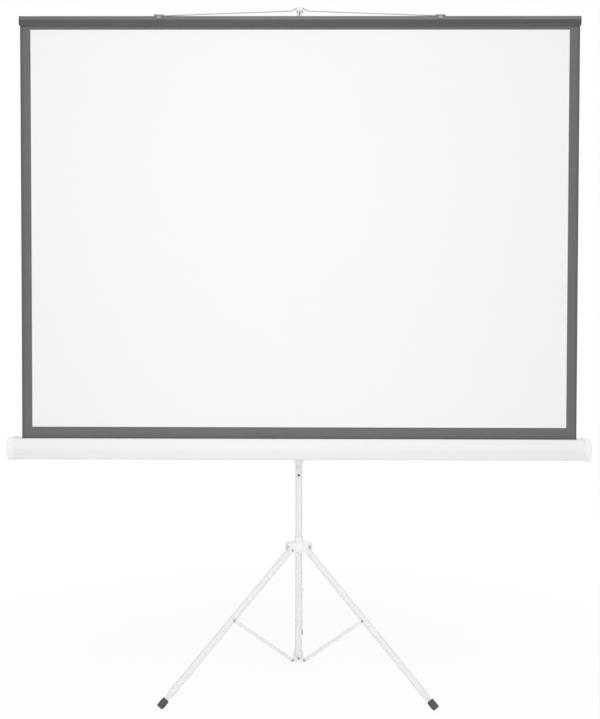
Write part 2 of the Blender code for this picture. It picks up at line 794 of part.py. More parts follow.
def make_hook(frame):
    """Moulded hook: a cap on the tube, a falling arm, a seat for the wire and an upturned lip."""
    cap_bore = EXTENSION_RADIUS + GAP
    roof = EXTENSION_TOP_Z + GAP
    cap = [
        (0, HOOK_TOP_Z),
        (HOOK_CAP_RADIUS - HOOK_CAP_CHAMFER, HOOK_TOP_Z),
        (HOOK_CAP_RADIUS, HOOK_TOP_Z - HOOK_CAP_CHAMFER),
        (HOOK_CAP_RADIUS, HOOK_CAP_BOTTOM_Z),
        (cap_bore, HOOK_CAP_BOTTOM_Z),
        (cap_bore, roof),
        (0, roof),
    ]
    hook = turned("hanger_hook", "white_plastic", frame, cap)
    above = HOOK_TOP_Z - HOOK_SKIN
    below = HOOK_CAP_BOTTOM_Z + HOOK_SKIN
    corners = [
        (HOOK_ROOT_Y, above, 0),
        (HOOK_SHOULDER_Y, above, 0.004),
        (HOOK_NOSE_Y, HOOK_NOSE_Z, 0.002),
        (HOOK_THROAT_Y, HOOK_THROAT_Z, 0.001),
        (HOOK_THROAT_Y, SEAT_Z, 0),
        (LIP_BACK_Y, SEAT_Z, 0),
        (LIP_BACK_Y, LIP_TOP_Z, 0.001),
        (LIP_FRONT_Y, LIP_TOP_Z, 0.001),
        (LIP_FRONT_Y, LIP_CHIN_Z, 0.002),
        (LIP_BACK_Y, LIP_BOTTOM_Z, 0.002),
        (HOOK_THROAT_Y, LIP_BOTTOM_Z, 0.004),
        (HOOK_SHOULDER_Y, below, 0.004),
        (HOOK_ROOT_Y, below, 0),
    ]
    fuse(hook, extruded("hook_arm", "white_plastic", frame, rounded_outline(corners), HOOK_HALF_WIDTH))
    low = (-LIP_HALF_WIDTH, LIP_FRONT_Y + HOOK_SKIN, LIP_CHIN_Z)
    high = (LIP_HALF_WIDTH, LIP_BACK_Y - HOOK_SKIN, LIP_TOP_Z - HOOK_SKIN)
    fuse(hook, block("hook_lip", "white_plastic", frame, low, high, LIP_ROUND))


# Carriage and case


def make_carriage(mast):
    """Sleeve that slides on the main tube, with the swivel boss at its front."""
    frame = new_frame("carriage_slide", mast, (0, 0, CASE_Z))
    top = CARRIAGE_TOP_Z - CASE_Z
    profile = [
        (CARRIAGE_RADIUS - CARRIAGE_CHAMFER, top),
        (CARRIAGE_RADIUS, top - CARRIAGE_CHAMFER),
        *[(radius, height - CASE_Z) for radius, height in CARRIAGE_FOOT],
        (SLIDE_BORE, CARRIAGE_BOTTOM_Z - CASE_Z),
        (SLIDE_BORE, top),
    ]
    sleeve = turned("carriage_sleeve", "white_plastic", frame, profile, True)
    boss = rod_profile(SWIVEL_BOSS_RADIUS, SLIDE_BORE + BOSS_BITE, -SWIVEL_BOSS_Y)
    fuse(sleeve, turned("swivel_boss", "white_plastic", frame, boss, False, (0, 0, 0), LAY_ALONG_FRONT))
    inside = (0, SWIVEL_HOLE_END_Y, 0)
    drill(sleeve, frame, "swivel_bore", SWIVEL_HOLE_RADIUS, inside, (0, 2 * SWIVEL_BOSS_Y, 0))
    add_knob_boss(sleeve, frame, "carriage", CARRIAGE_KNOB_Z - CASE_Z)
    seat = GAP - BRACKET_FACE_Y
    tip = GAP - SWIVEL_HOLE_END_Y
    bolt = headed_profile(BOLT_RADIUS, BOLT_HEAD_RADIUS, tip, seat, BOLT_HEAD)
    turned("swivel_bolt", "zinc_steel", frame, bolt, False, (0, 0, 0), LAY_ALONG_FRONT, SMALL_STEPS)
    return frame


def case_section(grow=0.0):
    """The case's outline round its own centre, grown outward."""
    back = CASE_HALF_DEPTH + grow
    half = CASE_HALF_HEIGHT + grow
    front = -(CASE_HALF_DEPTH + grow)
    shoulder = front + FRONT_SETBACK
    corners = [
        (back, half, BACK_FILLET + grow),
        (back, -half, BACK_FILLET + grow),
        (shoulder, -half, FOOT_FILLET + grow),
        (front, CREASE_UP, CREASE_FILLET + grow),
        (shoulder, half, FRONT_FILLET + grow),
    ]
    return rounded_outline(corners)


def make_case_shell(frame):
    """Formed steel case with the screen's slot in its top."""
    mesh = bpy.data.meshes.new("case_shell")
    bm = bmesh.new()
    verts = [bm.verts.new((-CASE_LENGTH / 2, point.x, point.y)) for point in case_section()]
    edges = [bm.edges.new(pair) for pair in zip(verts, verts[1:] + verts[:1])]
    made = bmesh.ops.extrude_edge_only(bm, edges=edges)["geom"]
    moved = [item for item in made if isinstance(item, bmesh.types.BMVert)]
    bmesh.ops.translate(bm, verts=moved, vec=(CASE_LENGTH, 0, 0))
    bmesh.ops.recalc_face_normals(bm, faces=bm.faces)
    top = max(bm.faces, key=lambda face: face.calc_center_median().z)
    if top.normal.z < 0:
        bmesh.ops.reverse_faces(bm, faces=bm.faces)
    bm.to_mesh(mesh)
    bm.free()
    shade(mesh, 25)
    shell = bpy.data.objects.new("case_shell", mesh)
    place(shell, "white_powder_coat", frame, (0, CASE_Y, 0), (0, 0, 0))
    solid = shell.modifiers.new("sheet", "SOLIDIFY")
    solid.thickness = CASE_WALL
    solid.offset = -1
    solid.use_even_offset = True
    low = (-CASE_SLOT_HALF, CASE_Y + CASE_SLOT_FRONT, CASE_HALF_HEIGHT / 2)
    high = (CASE_SLOT_HALF, CASE_Y + CASE_SLOT_BACK, CASE_HALF_HEIGHT * 2)
    cut(shell, block("case_slot", "white_powder_coat", frame, low, high))


def make_end_cap(name, frame, sign):
    """Moulded cap over one end of the case, with the boss that holds the roller's pin."""
    half = (END_CAP_OUTER_X - END_CAP_INNER_X) / 2
    centre = (sign * (END_CAP_INNER_X + half), CASE_Y, 0)
    cap = extruded(name, "white_plastic", frame, case_section(END_CAP_WALL), half, (), centre)
    round_edges_where(cap, END_CAP_ROUND, lambda co: co.z * sign > 0)
    inside = extruded(name + "_inside", "white_plastic", frame, case_section(GAP), half, (), centre)
    inside.location.x = centre[0] - sign * END_CAP_FACE
    cut(cap, inside)
    pin_axis = (0, ROLLER_Y, 0)
    face = END_CAP_OUTER_X - END_CAP_FACE / 2
    ends = sorted((sign * face, sign * (face - BOSS_LENGTH)))
    boss = rod_profile(BOSS_RADIUS, *ends)
    fuse(cap, turned(name + "_boss", "white_plastic", frame, boss, False, pin_axis, LAY_ALONG_X))
    if sign > 0:
        profile = rod_profile(PIN_RADIUS, ROLLER_HALF - PLUG_DEPTH, face)
        pin = turned(name + "_pin", "white_plastic", frame, profile, False, pin_axis, LAY_ALONG_X)
        fuse(cap, pin)
    else:
        start = (-face - END_CAP_FACE / 4, ROLLER_Y, 0)
        end = (END_CAP_FACE + BOSS_LENGTH - face, ROLLER_Y, 0)
        drill(cap, frame, name + "_bore", PIN_RADIUS + GAP, start, end)


def make_case_bracket(frame):
    """Hat-section bracket on the case's back that the swivel bolt clamps."""
    crown = BRACKET_CROWN_HALF
    foot = BRACKET_FOOT_HALF
    metal = BRACKET_METAL
    foot_back = BRACKET_FOOT_Y + metal
    corners = [
        (BRACKET_BACK_Y, crown),
        (BRACKET_BACK_Y, -crown),
        (foot_back, -crown),
        (foot_back, -foot),
        (BRACKET_FOOT_Y, -foot),
        (BRACKET_FOOT_Y, metal - crown),
        (BRACKET_FACE_Y, metal - crown),
        (BRACKET_FACE_Y, crown - metal),
        (BRACKET_FOOT_Y, crown - metal),
        (BRACKET_FOOT_Y, foot),
        (foot_back, foot),
        (foot_back, crown),
    ]
    bracket = extruded("case_bracket", "zinc_steel", frame, corners, BRACKET_HALF_LENGTH)
    behind = (0, BRACKET_BACK_Y + metal, 0)
    drill(bracket, frame, "bracket_bore", SWIVEL_HOLE_RADIUS, behind, (0, BRACKET_FACE_Y - metal, 0))


def make_case(carriage):
    """The case's fixed pieces, on the swivel's axis."""
    frame = new_frame("case_swivel", carriage)
    make_case_shell(frame)
    make_end_cap("case_end_cap_left", frame, -1)
    make_end_cap("case_end_cap_right", frame, 1)
    make_case_bracket(frame)
    start = -END_CAP_OUTER_X + END_CAP_FACE
    spindle = rod_profile(PIN_RADIUS, start, SPINDLE_END_X)
    turned("spring_spindle", "zinc_steel", frame, spindle, False, (0, ROLLER_Y, 0), LAY_ALONG_X, SMALL_STEPS)
    return frame


def make_roller(case):
    """Spring roller with the turns of fabric left on it."""
    frame = new_frame("roller_spin", case, (0, ROLLER_Y, 0))
    inner = ROLLER_RADIUS - ROLLER_WALL
    tube = ring_profile(ROLLER_RADIUS, inner, -ROLLER_HALF, ROLLER_HALF)
    turned("roller_tube", "zinc_steel", frame, tube, True, rotation=LAY_ALONG_X)
    half = FABRIC_WIDTH / 2
    turns = ring_profile(ROLL_RADIUS, ROLLER_RADIUS + GAP, -half, half)
    turned("fabric_roll", "screen_fabric", frame, turns, True, rotation=LAY_ALONG_X)
    for name, sign in (("roller_plug_left", -1), ("roller_plug_right", 1)):
        bore = PIN_RADIUS + PIN_CLEARANCE
        spigot = inner - GAP
        plug = [
            (PLUG_FLANGE_RADIUS, ROLLER_HALF + GAP + PLUG_FLANGE),
            (PLUG_FLANGE_RADIUS, ROLLER_HALF + GAP),
            (spigot, ROLLER_HALF + GAP),
            (spigot, ROLLER_HALF - PLUG_DEPTH),
            (bore, ROLLER_HALF - PLUG_DEPTH),
            (bore, ROLLER_HALF + GAP + PLUG_FLANGE),
        ]
        turned(name, "nylon", frame, plug, True, rotation=(0, sign * math.pi / 2, 0))
    spring = ring_profile(SPRING_OUTER, SPRING_INNER, SPRING_FROM_X, SPRING_TO_X)
    turned("roller_spring", "dark_steel", frame, spring, True, rotation=LAY_ALONG_X, steps=SMALL_STEPS)


# Screen


def make_fabric(frame):
    """Screen fabric from the roll up into the top bar."""
    half = FABRIC_WIDTH / 2
    thick = FABRIC_THICKNESS / 2
    low = (-half, SCREEN_Y - thick, FABRIC_BOTTOM_Z)
    high = (half, SCREEN_Y + thick, BAR_BOTTOM_Z + SLOT_DEPTH - GAP)
    block("screen_fabric", "screen_fabric", frame, low, high)


def bar_section(grow=0.0, slotted=True):
    """The top bar's outline round its own centre, grown outward, with the fabric's slot below."""
    depth = BAR_DEPTH / 2 + grow
    height = BAR_HEIGHT / 2 + grow
    ridge_up = BAR_HEIGHT / 2 - BAR_RIDGE_DOWN
    corners = [
        (depth, -height, BAR_EDGE_ROUND),
        (depth, height, BAR_EDGE_ROUND),
        (BAR_TOP_SETBACK - depth, height, BAR_EDGE_ROUND),
        (-depth, ridge_up, BAR_RIDGE_ROUND),
        (BAR_FOOT_SETBACK - depth, -height, BAR_EDGE_ROUND),
    ]
    if slotted:
        top = SLOT_DEPTH - height
        slot = [(-SLOT_HALF, -height, 0), (-SLOT_HALF, top, 0), (SLOT_HALF, top, 0), (SLOT_HALF, -height, 0)]
        corners += slot
    return rounded_outline(corners)


def make_top_bar(frame):
    """Dark bar that grips the fabric's top edge, and its two end caps."""
    centre = (0, SCREEN_Y, BAR_CENTRE_Z)
    extruded("top_bar", "dark_bar", frame, bar_section(), BAR_LENGTH / 2, (), centre)
    for name, sign in (("bar_end_cap_left", -1), ("bar_end_cap_right", 1)):
        at = (sign * (BAR_LENGTH / 2 + GAP + BAR_CAP / 2), SCREEN_Y, BAR_CENTRE_Z)
        cap = extruded(name, "black_plastic", frame, bar_section(GAP, False), BAR_CAP / 2, (), at)
        add_bevel(cap, BAR_CAP / 4, 1, 50)


def make_bail_eye(name, frame, sign):
    """Saddle strap over the bar with the knuckle that the bail turns in."""
    outer = bar_section(STRAP_METAL + GAP, False)
    inner = bar_section(GAP, False)
    at = (sign * EYE_X, SCREEN_Y, BAR_CENTRE_Z)
    eye = extruded(name, "dark_steel", frame, outer, STRAP_WIDTH / 2, (), at)
    low = (sign * EYE_X - EYE_LENGTH / 2, SCREEN_Y - EYE_WIDTH / 2, BAR_TOP_Z + GAP)
    high = (sign * EYE_X + EYE_LENGTH / 2, SCREEN_Y + EYE_WIDTH / 2, BAR_TOP_Z + GAP + EYE_HEIGHT)
    fuse(eye, block(name + "_knuckle", "dark_steel", frame, low, high, EYE_ROUND))
    cut(eye, extruded(name + "_inside", "dark_steel", frame, inner, EYE_LENGTH, (), at))
    below = (sign * EYE_X - LONG_CUT, SCREEN_Y - LONG_CUT, STRAP_BOTTOM_Z - LONG_CUT)
    above = (sign * EYE_X + LONG_CUT, SCREEN_Y + LONG_CUT, STRAP_BOTTOM_Z)
    cut(eye, block(name + "_below", "dark_steel", frame, below, above))
    start = (sign * EYE_X - EYE_LENGTH, SCREEN_Y, BAIL_Z)
    drill(eye, frame, name + "_bore", EYE_BORE, start, (sign * EYE_X + EYE_LENGTH, SCREEN_Y, BAIL_Z))


def make_bail(frame):
    """Wire bail that the hook lifts, leaning back on its two eyes."""
    lean = math.atan2(CREST_Y - SCREEN_Y, CREST_Z - BAIL_Z)
    crest_up = math.hypot(CREST_Y - SCREEN_Y, CREST_Z - BAIL_Z)
    half = [
        (BAIL_END_X, 0, 0),
        (BAIL_KNEE_X, 0, KNEE_RADIUS),
        (BAIL_BEND_X, BAIL_BEND_UP, BEND_RADIUS),
        (BAIL_CREST_X, crest_up, BEND_RADIUS),
    ]
    corners = [(-x, up, radius) for x, up, radius in half] + half[::-1]
    line = rounded_outline(corners, closed=False)
    curve = bpy.data.curves.new("hanger_bail", "CURVE")
    curve.dimensions = "3D"
    curve.bevel_depth = WIRE_RADIUS
    curve.bevel_resolution = 2
    curve.use_fill_caps = True
    spline = curve.splines.new("POLY")
    spline.points.add(len(line) - 1)
    for point, where in zip(spline.points, line):
        point.co = (where.x, 0, where.y, 1)
    curve_as_mesh("hanger_bail", "zinc_steel", frame, curve, (0, SCREEN_Y, BAIL_Z), (-lean, 0, 0))


def make_screen(case):
    """Everything that rises with the top bar. Its frame is level with the floor frame of the mast."""
    frame = new_frame("screen_slide", case, (0, 0, -CASE_Z))
    make_fabric(frame)
    make_top_bar(frame)
    make_bail_eye("bail_eye_left", frame, -1)
    make_bail_eye("bail_eye_right", frame, 1)
    make_bail(frame)


# Yoke, legs and braces


def make_yoke(mast):
    """Moulded yoke that slides on the mast and carries the three legs."""
    frame = new_frame("yoke_slide", mast)
    profile = [
        (YOKE_COLLAR_RADIUS - YOKE_CHAMFER, YOKE_COLLAR_TOP_Z),
        (YOKE_COLLAR_RADIUS, YOKE_COLLAR_TOP_Z - YOKE_CHAMFER),
        (YOKE_COLLAR_RADIUS, YOKE_TOP_Z + YOKE_CHAMFER),
        (YOKE_RING_RADIUS, YOKE_TOP_Z - YOKE_CHAMFER),
        (YOKE_RING_RADIUS, YOKE_BOTTOM_Z),
        (YOKE_BORE, YOKE_BOTTOM_Z),
        (YOKE_BORE, YOKE_COLLAR_TOP_Z),
    ]
    yoke = turned("leg_yoke", "white_plastic", frame, profile, True)
    low = YOKE_BOTTOM_Z + YOKE_CHAMFER
    high = YOKE_COLLAR_TOP_Z - YOKE_CHAMFER
    turned("yoke_bush", "nylon", frame, ring_profile(BUSH_OUTER, BUSH_INNER, low, high), True)
    holders = {}
    for key in LEGS:
        holder = new_frame(key + "_arm_frame", frame, (0, 0, 0), upright_axes(key))
        holders[key] = holder
        low = (YOKE_ARM_FROM, -YOKE_ARM_HALF, YOKE_BOTTOM_Z)
        high = (YOKE_ARM_REACH, YOKE_ARM_HALF, YOKE_TOP_Z)
        arm = block(key + "_arm", "white_plastic", holder, low, high)
        round_edges_where(arm, YOKE_ARM_ROUND, lambda co: co.z > 0 and co.x > 0)
        add_bevel(arm, YOKE_EDGE_ROUND, 2, 60)
        fuse(yoke, arm)
    for key, holder in holders.items():
        low = (YOKE_SLOT_FROM, -YOKE_SLOT_HALF, YOKE_BOTTOM_Z - LONG_CUT)
        high = (YOKE_SLOT_FROM + LONG_CUT, YOKE_SLOT_HALF, YOKE_ROOF_Z)
        cut(yoke, block(key + "_arm_slot", "white_plastic", holder, low, high))
        hole = YOKE_PIN_RADIUS + PIN_HOLE_EXTRA
        start = (LEG_PIVOT_R, -YOKE_BORE_END, LEG_PIVOT_Z)
        drill(yoke, holder, key + "_arm_bore", hole, start, (LEG_PIVOT_R, 2 * YOKE_ARM_HALF, LEG_PIVOT_Z))
        make_yoke_pin(key, holder)
    bore = rod_profile(YOKE_BORE, YOKE_BOTTOM_Z - LONG_CUT, YOKE_COLLAR_TOP_Z + LONG_CUT)
    cut(yoke, turned("yoke_bore", "white_plastic", frame, bore))
    return frame


def make_yoke_pin(key, holder):
    """Pivot pin of a leg, driven through one arm of the yoke into a blind hole in the other."""
    tip = GAP - YOKE_BORE_END
    profile = headed_profile(YOKE_PIN_RADIUS, YOKE_PIN_HEAD, tip, YOKE_ARM_HALF + GAP, HEAD_HEIGHT)
    at = (LEG_PIVOT_R, 0, LEG_PIVOT_Z)
    turned(key + "_yoke_pin", "zinc_steel", holder, profile, False, at, LAY_ALONG_BACK, SMALL_STEPS)


def make_leg(key, yoke):
    """One leg: tube, top plug, stud of the brace joint, spigot and rubber foot, hung from its pivot."""
    radial = LEGS[key][0]
    frame = new_frame(key + "_leg_pivot", yoke, radial * LEG_PIVOT_R + UP * LEG_PIVOT_Z, leg_axes(key))
    tube_end = -(LEG_LENGTH - FOOT_LENGTH - NECK)
    inner = LEG_RADIUS - LEG_WALL
    swage_inner = SWAGE_RADIUS - LEG_WALL
    section = [
        (LEG_RADIUS, LEG_OVERRUN),
        (LEG_RADIUS, tube_end + SWAGE),
        (SWAGE_RADIUS, tube_end + SWAGE_END),
        (SWAGE_RADIUS, tube_end),
        (swage_inner, tube_end),
        (swage_inner, tube_end + SWAGE_END),
        (inner, tube_end + SWAGE),
        (inner, LEG_OVERRUN),
    ]
    tube = turned(key + "_leg_tube", "white_powder_coat", frame, section, True, steps=LEG_STEPS)
    out = 2 * LEG_RADIUS
    hole = YOKE_PIN_RADIUS + PIN_HOLE_EXTRA
    drill(tube, frame, key + "_pivot_bore", hole, (-out, 0, 0), (out, 0, 0))
    hole = STUD_RADIUS + PIN_HOLE_EXTRA
    drill(tube, frame, key + "_stud_bore", hole, (-out, 0, -BRACE_JOINT), (out, 0, -BRACE_JOINT))
    rim = LEG_OVERRUN + GAP
    plug = [
        (0, rim + TOP_PLUG_RIM + TOP_PLUG_DOME),
        (LEG_RADIUS * 0.45, rim + TOP_PLUG_RIM + TOP_PLUG_DOME * 0.75),
        (LEG_RADIUS * 0.8, rim + TOP_PLUG_RIM),
        (LEG_RADIUS * 0.9, rim),
        (inner - GAP, rim),
        (inner - GAP, rim - TOP_PLUG_SPIGOT),
        (0, rim - TOP_PLUG_SPIGOT),
    ]
    turned(key + "_leg_top_plug", "white_plastic", frame, plug, steps=LEG_STEPS)
    stud = headed_profile(STUD_RADIUS, STUD_HEAD, GAP - LEG_RADIUS, LEG_RADIUS + GAP, HEAD_HEIGHT)
    at = (0, 0, -BRACE_JOINT)
    turned(key + "_leg_stud", "zinc_steel", frame, stud, False, at, (0, -math.pi / 2, 0), SMALL_STEPS)
    foot_top = -(LEG_LENGTH - FOOT_LENGTH)
    bore_end = foot_top - FOOT_BORE_DEPTH
    spigot = rod_profile(SPIGOT_RADIUS, bore_end + GAP, tube_end + SPIGOT_INSIDE, SPIGOT_CHAMFER)
    turned(key + "_leg_spigot", "white_plastic", frame, spigot, steps=LEG_STEPS)
    bore = SPIGOT_RADIUS + GAP
    foot_profile = [
        (0, bore_end),
        (bore, bore_end),
        (bore, foot_top),
        (FOOT_TOP_RADIUS, foot_top),
        (FOOT_RADIUS, foot_top - FOOT_LENGTH / 3),
        (FOOT_RADIUS, -LEG_LENGTH + FOOT_CHAMFER),
        (FOOT_RADIUS - FOOT_CHAMFER, -LEG_LENGTH),
        (0, -LEG_LENGTH),
    ]
    foot = turned(key + "_rubber_foot", "black_rubber", frame, foot_profile, steps=LEG_STEPS)
    floor = block(key + "_floor_cut", "black_rubber", None, (-1, -1, -LONG_CUT), (1, 1, 0))
    cut(foot, floor)


def make_brace(key, mast):
    """Flat steel brace from the hub to beside its leg, with the rivet of its upper end."""
    radial, side = LEGS[key]
    run = brace_vector()
    along = (radial * run.x + UP * run.z).normalized()
    at = radial * HUB_PIVOT_R + UP * HUB_PIVOT_Z
    frame = new_frame(key + "_brace_pivot", mast, at, (side, along.cross(side), along))
    half = BRACE_WIDTH / 2
    length = run.length
    outer = half - MERGE
    ends = [
        (-half, -half, outer),
        (half, -half, outer),
        (half, length + half, outer),
        (-half, length + half, outer),
    ]
    foot_hole = circle_outline(RIVET_RADIUS + PIN_HOLE_EXTRA)
    top_hole = circle_outline(STUD_RADIUS + PIN_HOLE_EXTRA, (0, length))
    extruded(
        key + "_brace",
        "white_powder_coat",
        frame,
        rounded_outline(ends),
        BRACE_METAL / 2,
        [foot_hole, top_hole],
        (BRACE_OFFSET, 0, 0),
    )
    low = BRACE_OFFSET - BRACE_METAL / 2
    high = BRACE_OFFSET + BRACE_METAL / 2 + GAP
    rivet = headed_profile(STUD_RADIUS, STUD_HEAD, low, high, HEAD_HEIGHT)
    turned(key + "_brace_rivet", "zinc_steel", frame, rivet, False, (0, 0, length), LAY_ALONG_X, SMALL_STEPS)


def main():
    """Builds the whole stand round the mast's axis."""
    mast = new_frame("mast_axis", None, (0, MAST_Y, 0))
    make_main_tube(mast)
    make_hub(mast)
    make_hub_screw(mast)
    make_top_collar(mast)
    make_snap_button(mast)
    make_extension(mast)
    extension_tip = EXTENSION_RADIUS + GAP
    make_knob("extension_knob", mast, COLLAR_KNOB_Z, extension_tip)
    carriage = make_carriage(mast)
    make_knob("height_knob", carriage, CARRIAGE_KNOB_Z - CASE_Z, SLIDE_BORE)
    case = make_case(carriage)
    make_roller(case)
    make_screen(case)
    yoke = make_yoke(mast)
    for key in LEGS:
        make_leg(key, yoke)
        make_brace(key, mast)


main()
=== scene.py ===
"""Tripod projector screen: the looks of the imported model, its stage and its camera.

Run as a script by the renderer. The pieces are in metres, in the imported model's own frame: +Z up,
the screen faces -Y, and the origin is on the floor under the middle of the stand.
"""

import json
import math

import bmesh
import bpy
from bpy.props import FloatProperty, FloatVectorProperty, IntProperty, PointerProperty
from mathutils import Matrix, Vector


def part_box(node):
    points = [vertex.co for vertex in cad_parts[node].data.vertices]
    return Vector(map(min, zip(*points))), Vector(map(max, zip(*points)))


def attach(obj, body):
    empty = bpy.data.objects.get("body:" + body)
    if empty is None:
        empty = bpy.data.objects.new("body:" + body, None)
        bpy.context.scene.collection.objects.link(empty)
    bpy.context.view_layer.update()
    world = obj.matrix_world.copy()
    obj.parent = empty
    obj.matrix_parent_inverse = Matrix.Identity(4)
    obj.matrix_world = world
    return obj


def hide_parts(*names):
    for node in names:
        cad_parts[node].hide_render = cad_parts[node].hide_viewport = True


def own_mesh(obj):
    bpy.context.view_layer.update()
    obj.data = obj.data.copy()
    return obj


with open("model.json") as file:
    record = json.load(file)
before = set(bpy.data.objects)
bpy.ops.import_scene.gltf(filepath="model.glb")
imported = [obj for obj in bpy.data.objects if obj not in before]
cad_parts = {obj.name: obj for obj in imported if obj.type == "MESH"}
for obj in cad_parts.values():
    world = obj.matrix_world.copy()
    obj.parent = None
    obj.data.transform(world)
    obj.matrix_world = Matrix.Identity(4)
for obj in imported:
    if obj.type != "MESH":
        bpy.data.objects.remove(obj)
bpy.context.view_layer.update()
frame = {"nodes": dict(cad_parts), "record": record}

bl_info = {
    "name": "Tripod Projector Screen",
    "version": (1, 0, 0),
    "blender": (4, 5, 0),
    "location": "View3D > Sidebar > Screen",
    "description": "Builds the visible pieces of a tripod projector screen round its packed model",
    "category": "Object",
}

MM = 0.001
WELD = 0.000002
UP = Vector((0, 0, 1))


def centre_of(node):
    """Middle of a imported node's box."""
    low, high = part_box(node)
    return (low + high) / 2


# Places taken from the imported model
MAST_X, MAST_Y = centre_of("main_tube")[:2]
MAST = Matrix.Translation((MAST_X, MAST_Y, 0))
CLOTH_LOW, CLOTH_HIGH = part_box("screen_fabric")
CLOTH_Y = (CLOTH_LOW.y + CLOTH_HIGH.y) / 2
BAR_LOW, BAR_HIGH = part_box("top_bar")
ROLL_CENTRE = centre_of("roller_tube")

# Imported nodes: facets flatter than the first angle are joined, and edges sharper than the second
# are rounded
NODE_WELD = 0.00001
FLAT_ANGLE = math.radians(0.5)
ROUND_ANGLE = math.radians(40)
CRISP_DEGREES = 32

# Mast and extension
TUBE_WALL = 1.2 * MM

# Top bar: the ridge of its section, and the normals that tell its front face, coloured darker as
# painted shade, and its underside, coloured lighter as painted light
BAR_RIDGE_DOWN = 11.2 * MM
BAR_TOP_SETBACK = 3.6 * MM
FRONT_NORMAL_Y = -0.5
UNDER_NORMAL_Z = -0.9

# Rivets beside the bail's eyes. The crown's points are shares of the head's radius and of its rise
RIVET_DOWN = 3.0 * MM
RIVET_ASIDE = 6.6 * MM
RIVET_SHANK = 0.6 * MM
RIVET_HEAD = 1.1 * MM
RIVET_DEPTH = 0.8 * MM
RIVET_GAP = 0.05 * MM
RIVET_CROWN = 0.45 * MM
RIVET_STEPS = 20
CROWN_CURVE = ((0, 1), (0.35, 0.94), (0.65, 0.76), (0.88, 0.44), (1, 0.08))

# Cloth: its grid, its hem behind the bar, and its turns on the roller
CLOTH_COLUMNS = 120
CLOTH_ROW = 12 * MM
CLOTH_CRISP_DEGREES = 60
HEM_HEIGHT = 12 * MM
HEM_THICKNESSES_BEHIND = 1.1
ROLL_FACETS_PER_TURN = 48
ROLL_THICKNESS_SHARE = 0.7

# Cloth: its curl gathers at the side edges and fades to the bar and the case. Each ripple has a
# share of the curl, and radians per metre across and upwards
CURL_POWER = 14
HOLD_POWER = 0.5
RIPPLE_SHARE = 0.12
RIPPLES = ((0.3, 9, 3), (0.2, 23, -5))

# Legs and feet, along a leg from its pivot
LEG_TILT = math.radians(46.4)
LEG_PIVOT_R = 27.5 * MM
LEG_PIVOT_Z = 384.5 * MM
LEG_LENGTH = 555 * MM
LEG_RADIUS = 9.5 * MM
LEG_WALL = 1.2 * MM
LEG_TOP = 7 * MM
SWAGE_RADIUS = 7.4 * MM
SWAGE_LENGTH = 14 * MM
SWAGE_END = 2 * MM
NECK_LENGTH = 6 * MM
FOOT_LENGTH = 26.5 * MM
FOOT_RADIUS = 10 * MM
FOOT_TOP_RADIUS = 9.6 * MM
FOOT_BORE_RADIUS = 6.2 * MM
FOOT_BORE_DEPTH = 18 * MM
FOOT_CHAMFER = 1.2 * MM

# Each leg's direction from the mast, and the side its brace lies on
SIN_60 = math.sin(math.radians(60))
LEGS = {
    "left": (Vector((-SIN_60, -0.5, 0)), Vector((0.5, -SIN_60, 0))),
    "right": (Vector((SIN_60, -0.5, 0)), Vector((-0.5, -SIN_60, 0))),
    "rear": (Vector((0, 1, 0)), Vector((-1, 0, 0))),
}

# The camera that took the photograph, fitted to it
CAMERA_DISTANCE = 2.788
CAMERA_HEIGHT = 1.005
CAMERA_X = 0.023
CAMERA_PITCH = math.radians(1.48)
CAMERA_YAW = math.radians(-0.42)
CAMERA_ROLL = math.radians(0.11)
CAMERA_LENS = 48.44
CAMERA_SENSOR = 36
CAMERA_CLIP = (0.05, 200)

# Softboxes: name, place, aim, side and watts
LAMPS = (
    ("front_softbox", (-0.3, -2.3, 1.65), (0, -0.1, 1.5), 1.4, 14.5),
    ("side_softbox", (2.8, -2.2, 2.0), (0, -0.1, 0.9), 2.2, 6),
    ("top_softbox", (0.2, -0.8, 4.2), (0, -0.3, 0), 2.8, 22),
    ("low_softbox", (0.0, -2.0, 0.1), (0, -0.1, 0.55), 1.0, 3.5),
    ("rear_softbox", (0.8, 3.0, 2.8), (0, 0, 1.0), 2.4, 15),
)

# World: the strength of the fill, beside the full white that the camera and reflections see
FILL_STRENGTH = 0.62
WHITE = (1, 1, 1, 1)

# Floor: a disc just under the feet. Its white grows from a share near the stand to the whole
FLOOR_RADIUS = 40
FLOOR_STEPS = 96
FLOOR_DROP = 0.2 * MM
FLOOR_FADE = (0.45, 1.6)
FLOOR_NEAR_SHARE = 0.9
FLOOR_GREY = (0.96, 0.96, 0.96, 1)

# Most of a noise's values lie between these
NOISE_LOW = 0.3
NOISE_HIGH = 0.7


def linear(code):
    """A #rrggbb sRGB colour as linear red, green and blue."""
    channels = [int(code[i : i + 2], 16) / 255 for i in (1, 3, 5)]
    return tuple(c / 12.92 if c <= 0.04045 else ((c + 0.055) / 1.055) ** 2.4 for c in channels)


def length_property(name, description, default):
    """A length in metres."""
    return FloatProperty(
        name=name,
        description=description,
        default=default,
        min=0,
        unit="LENGTH",
        subtype="DISTANCE",
    )


def colour_property(name, description, code):
    """A colour, given as sRGB hex and kept linear."""
    return FloatVectorProperty(
        name=name,
        description=description,
        default=linear(code),
        min=0,
        max=1,
        subtype="COLOR",
    )


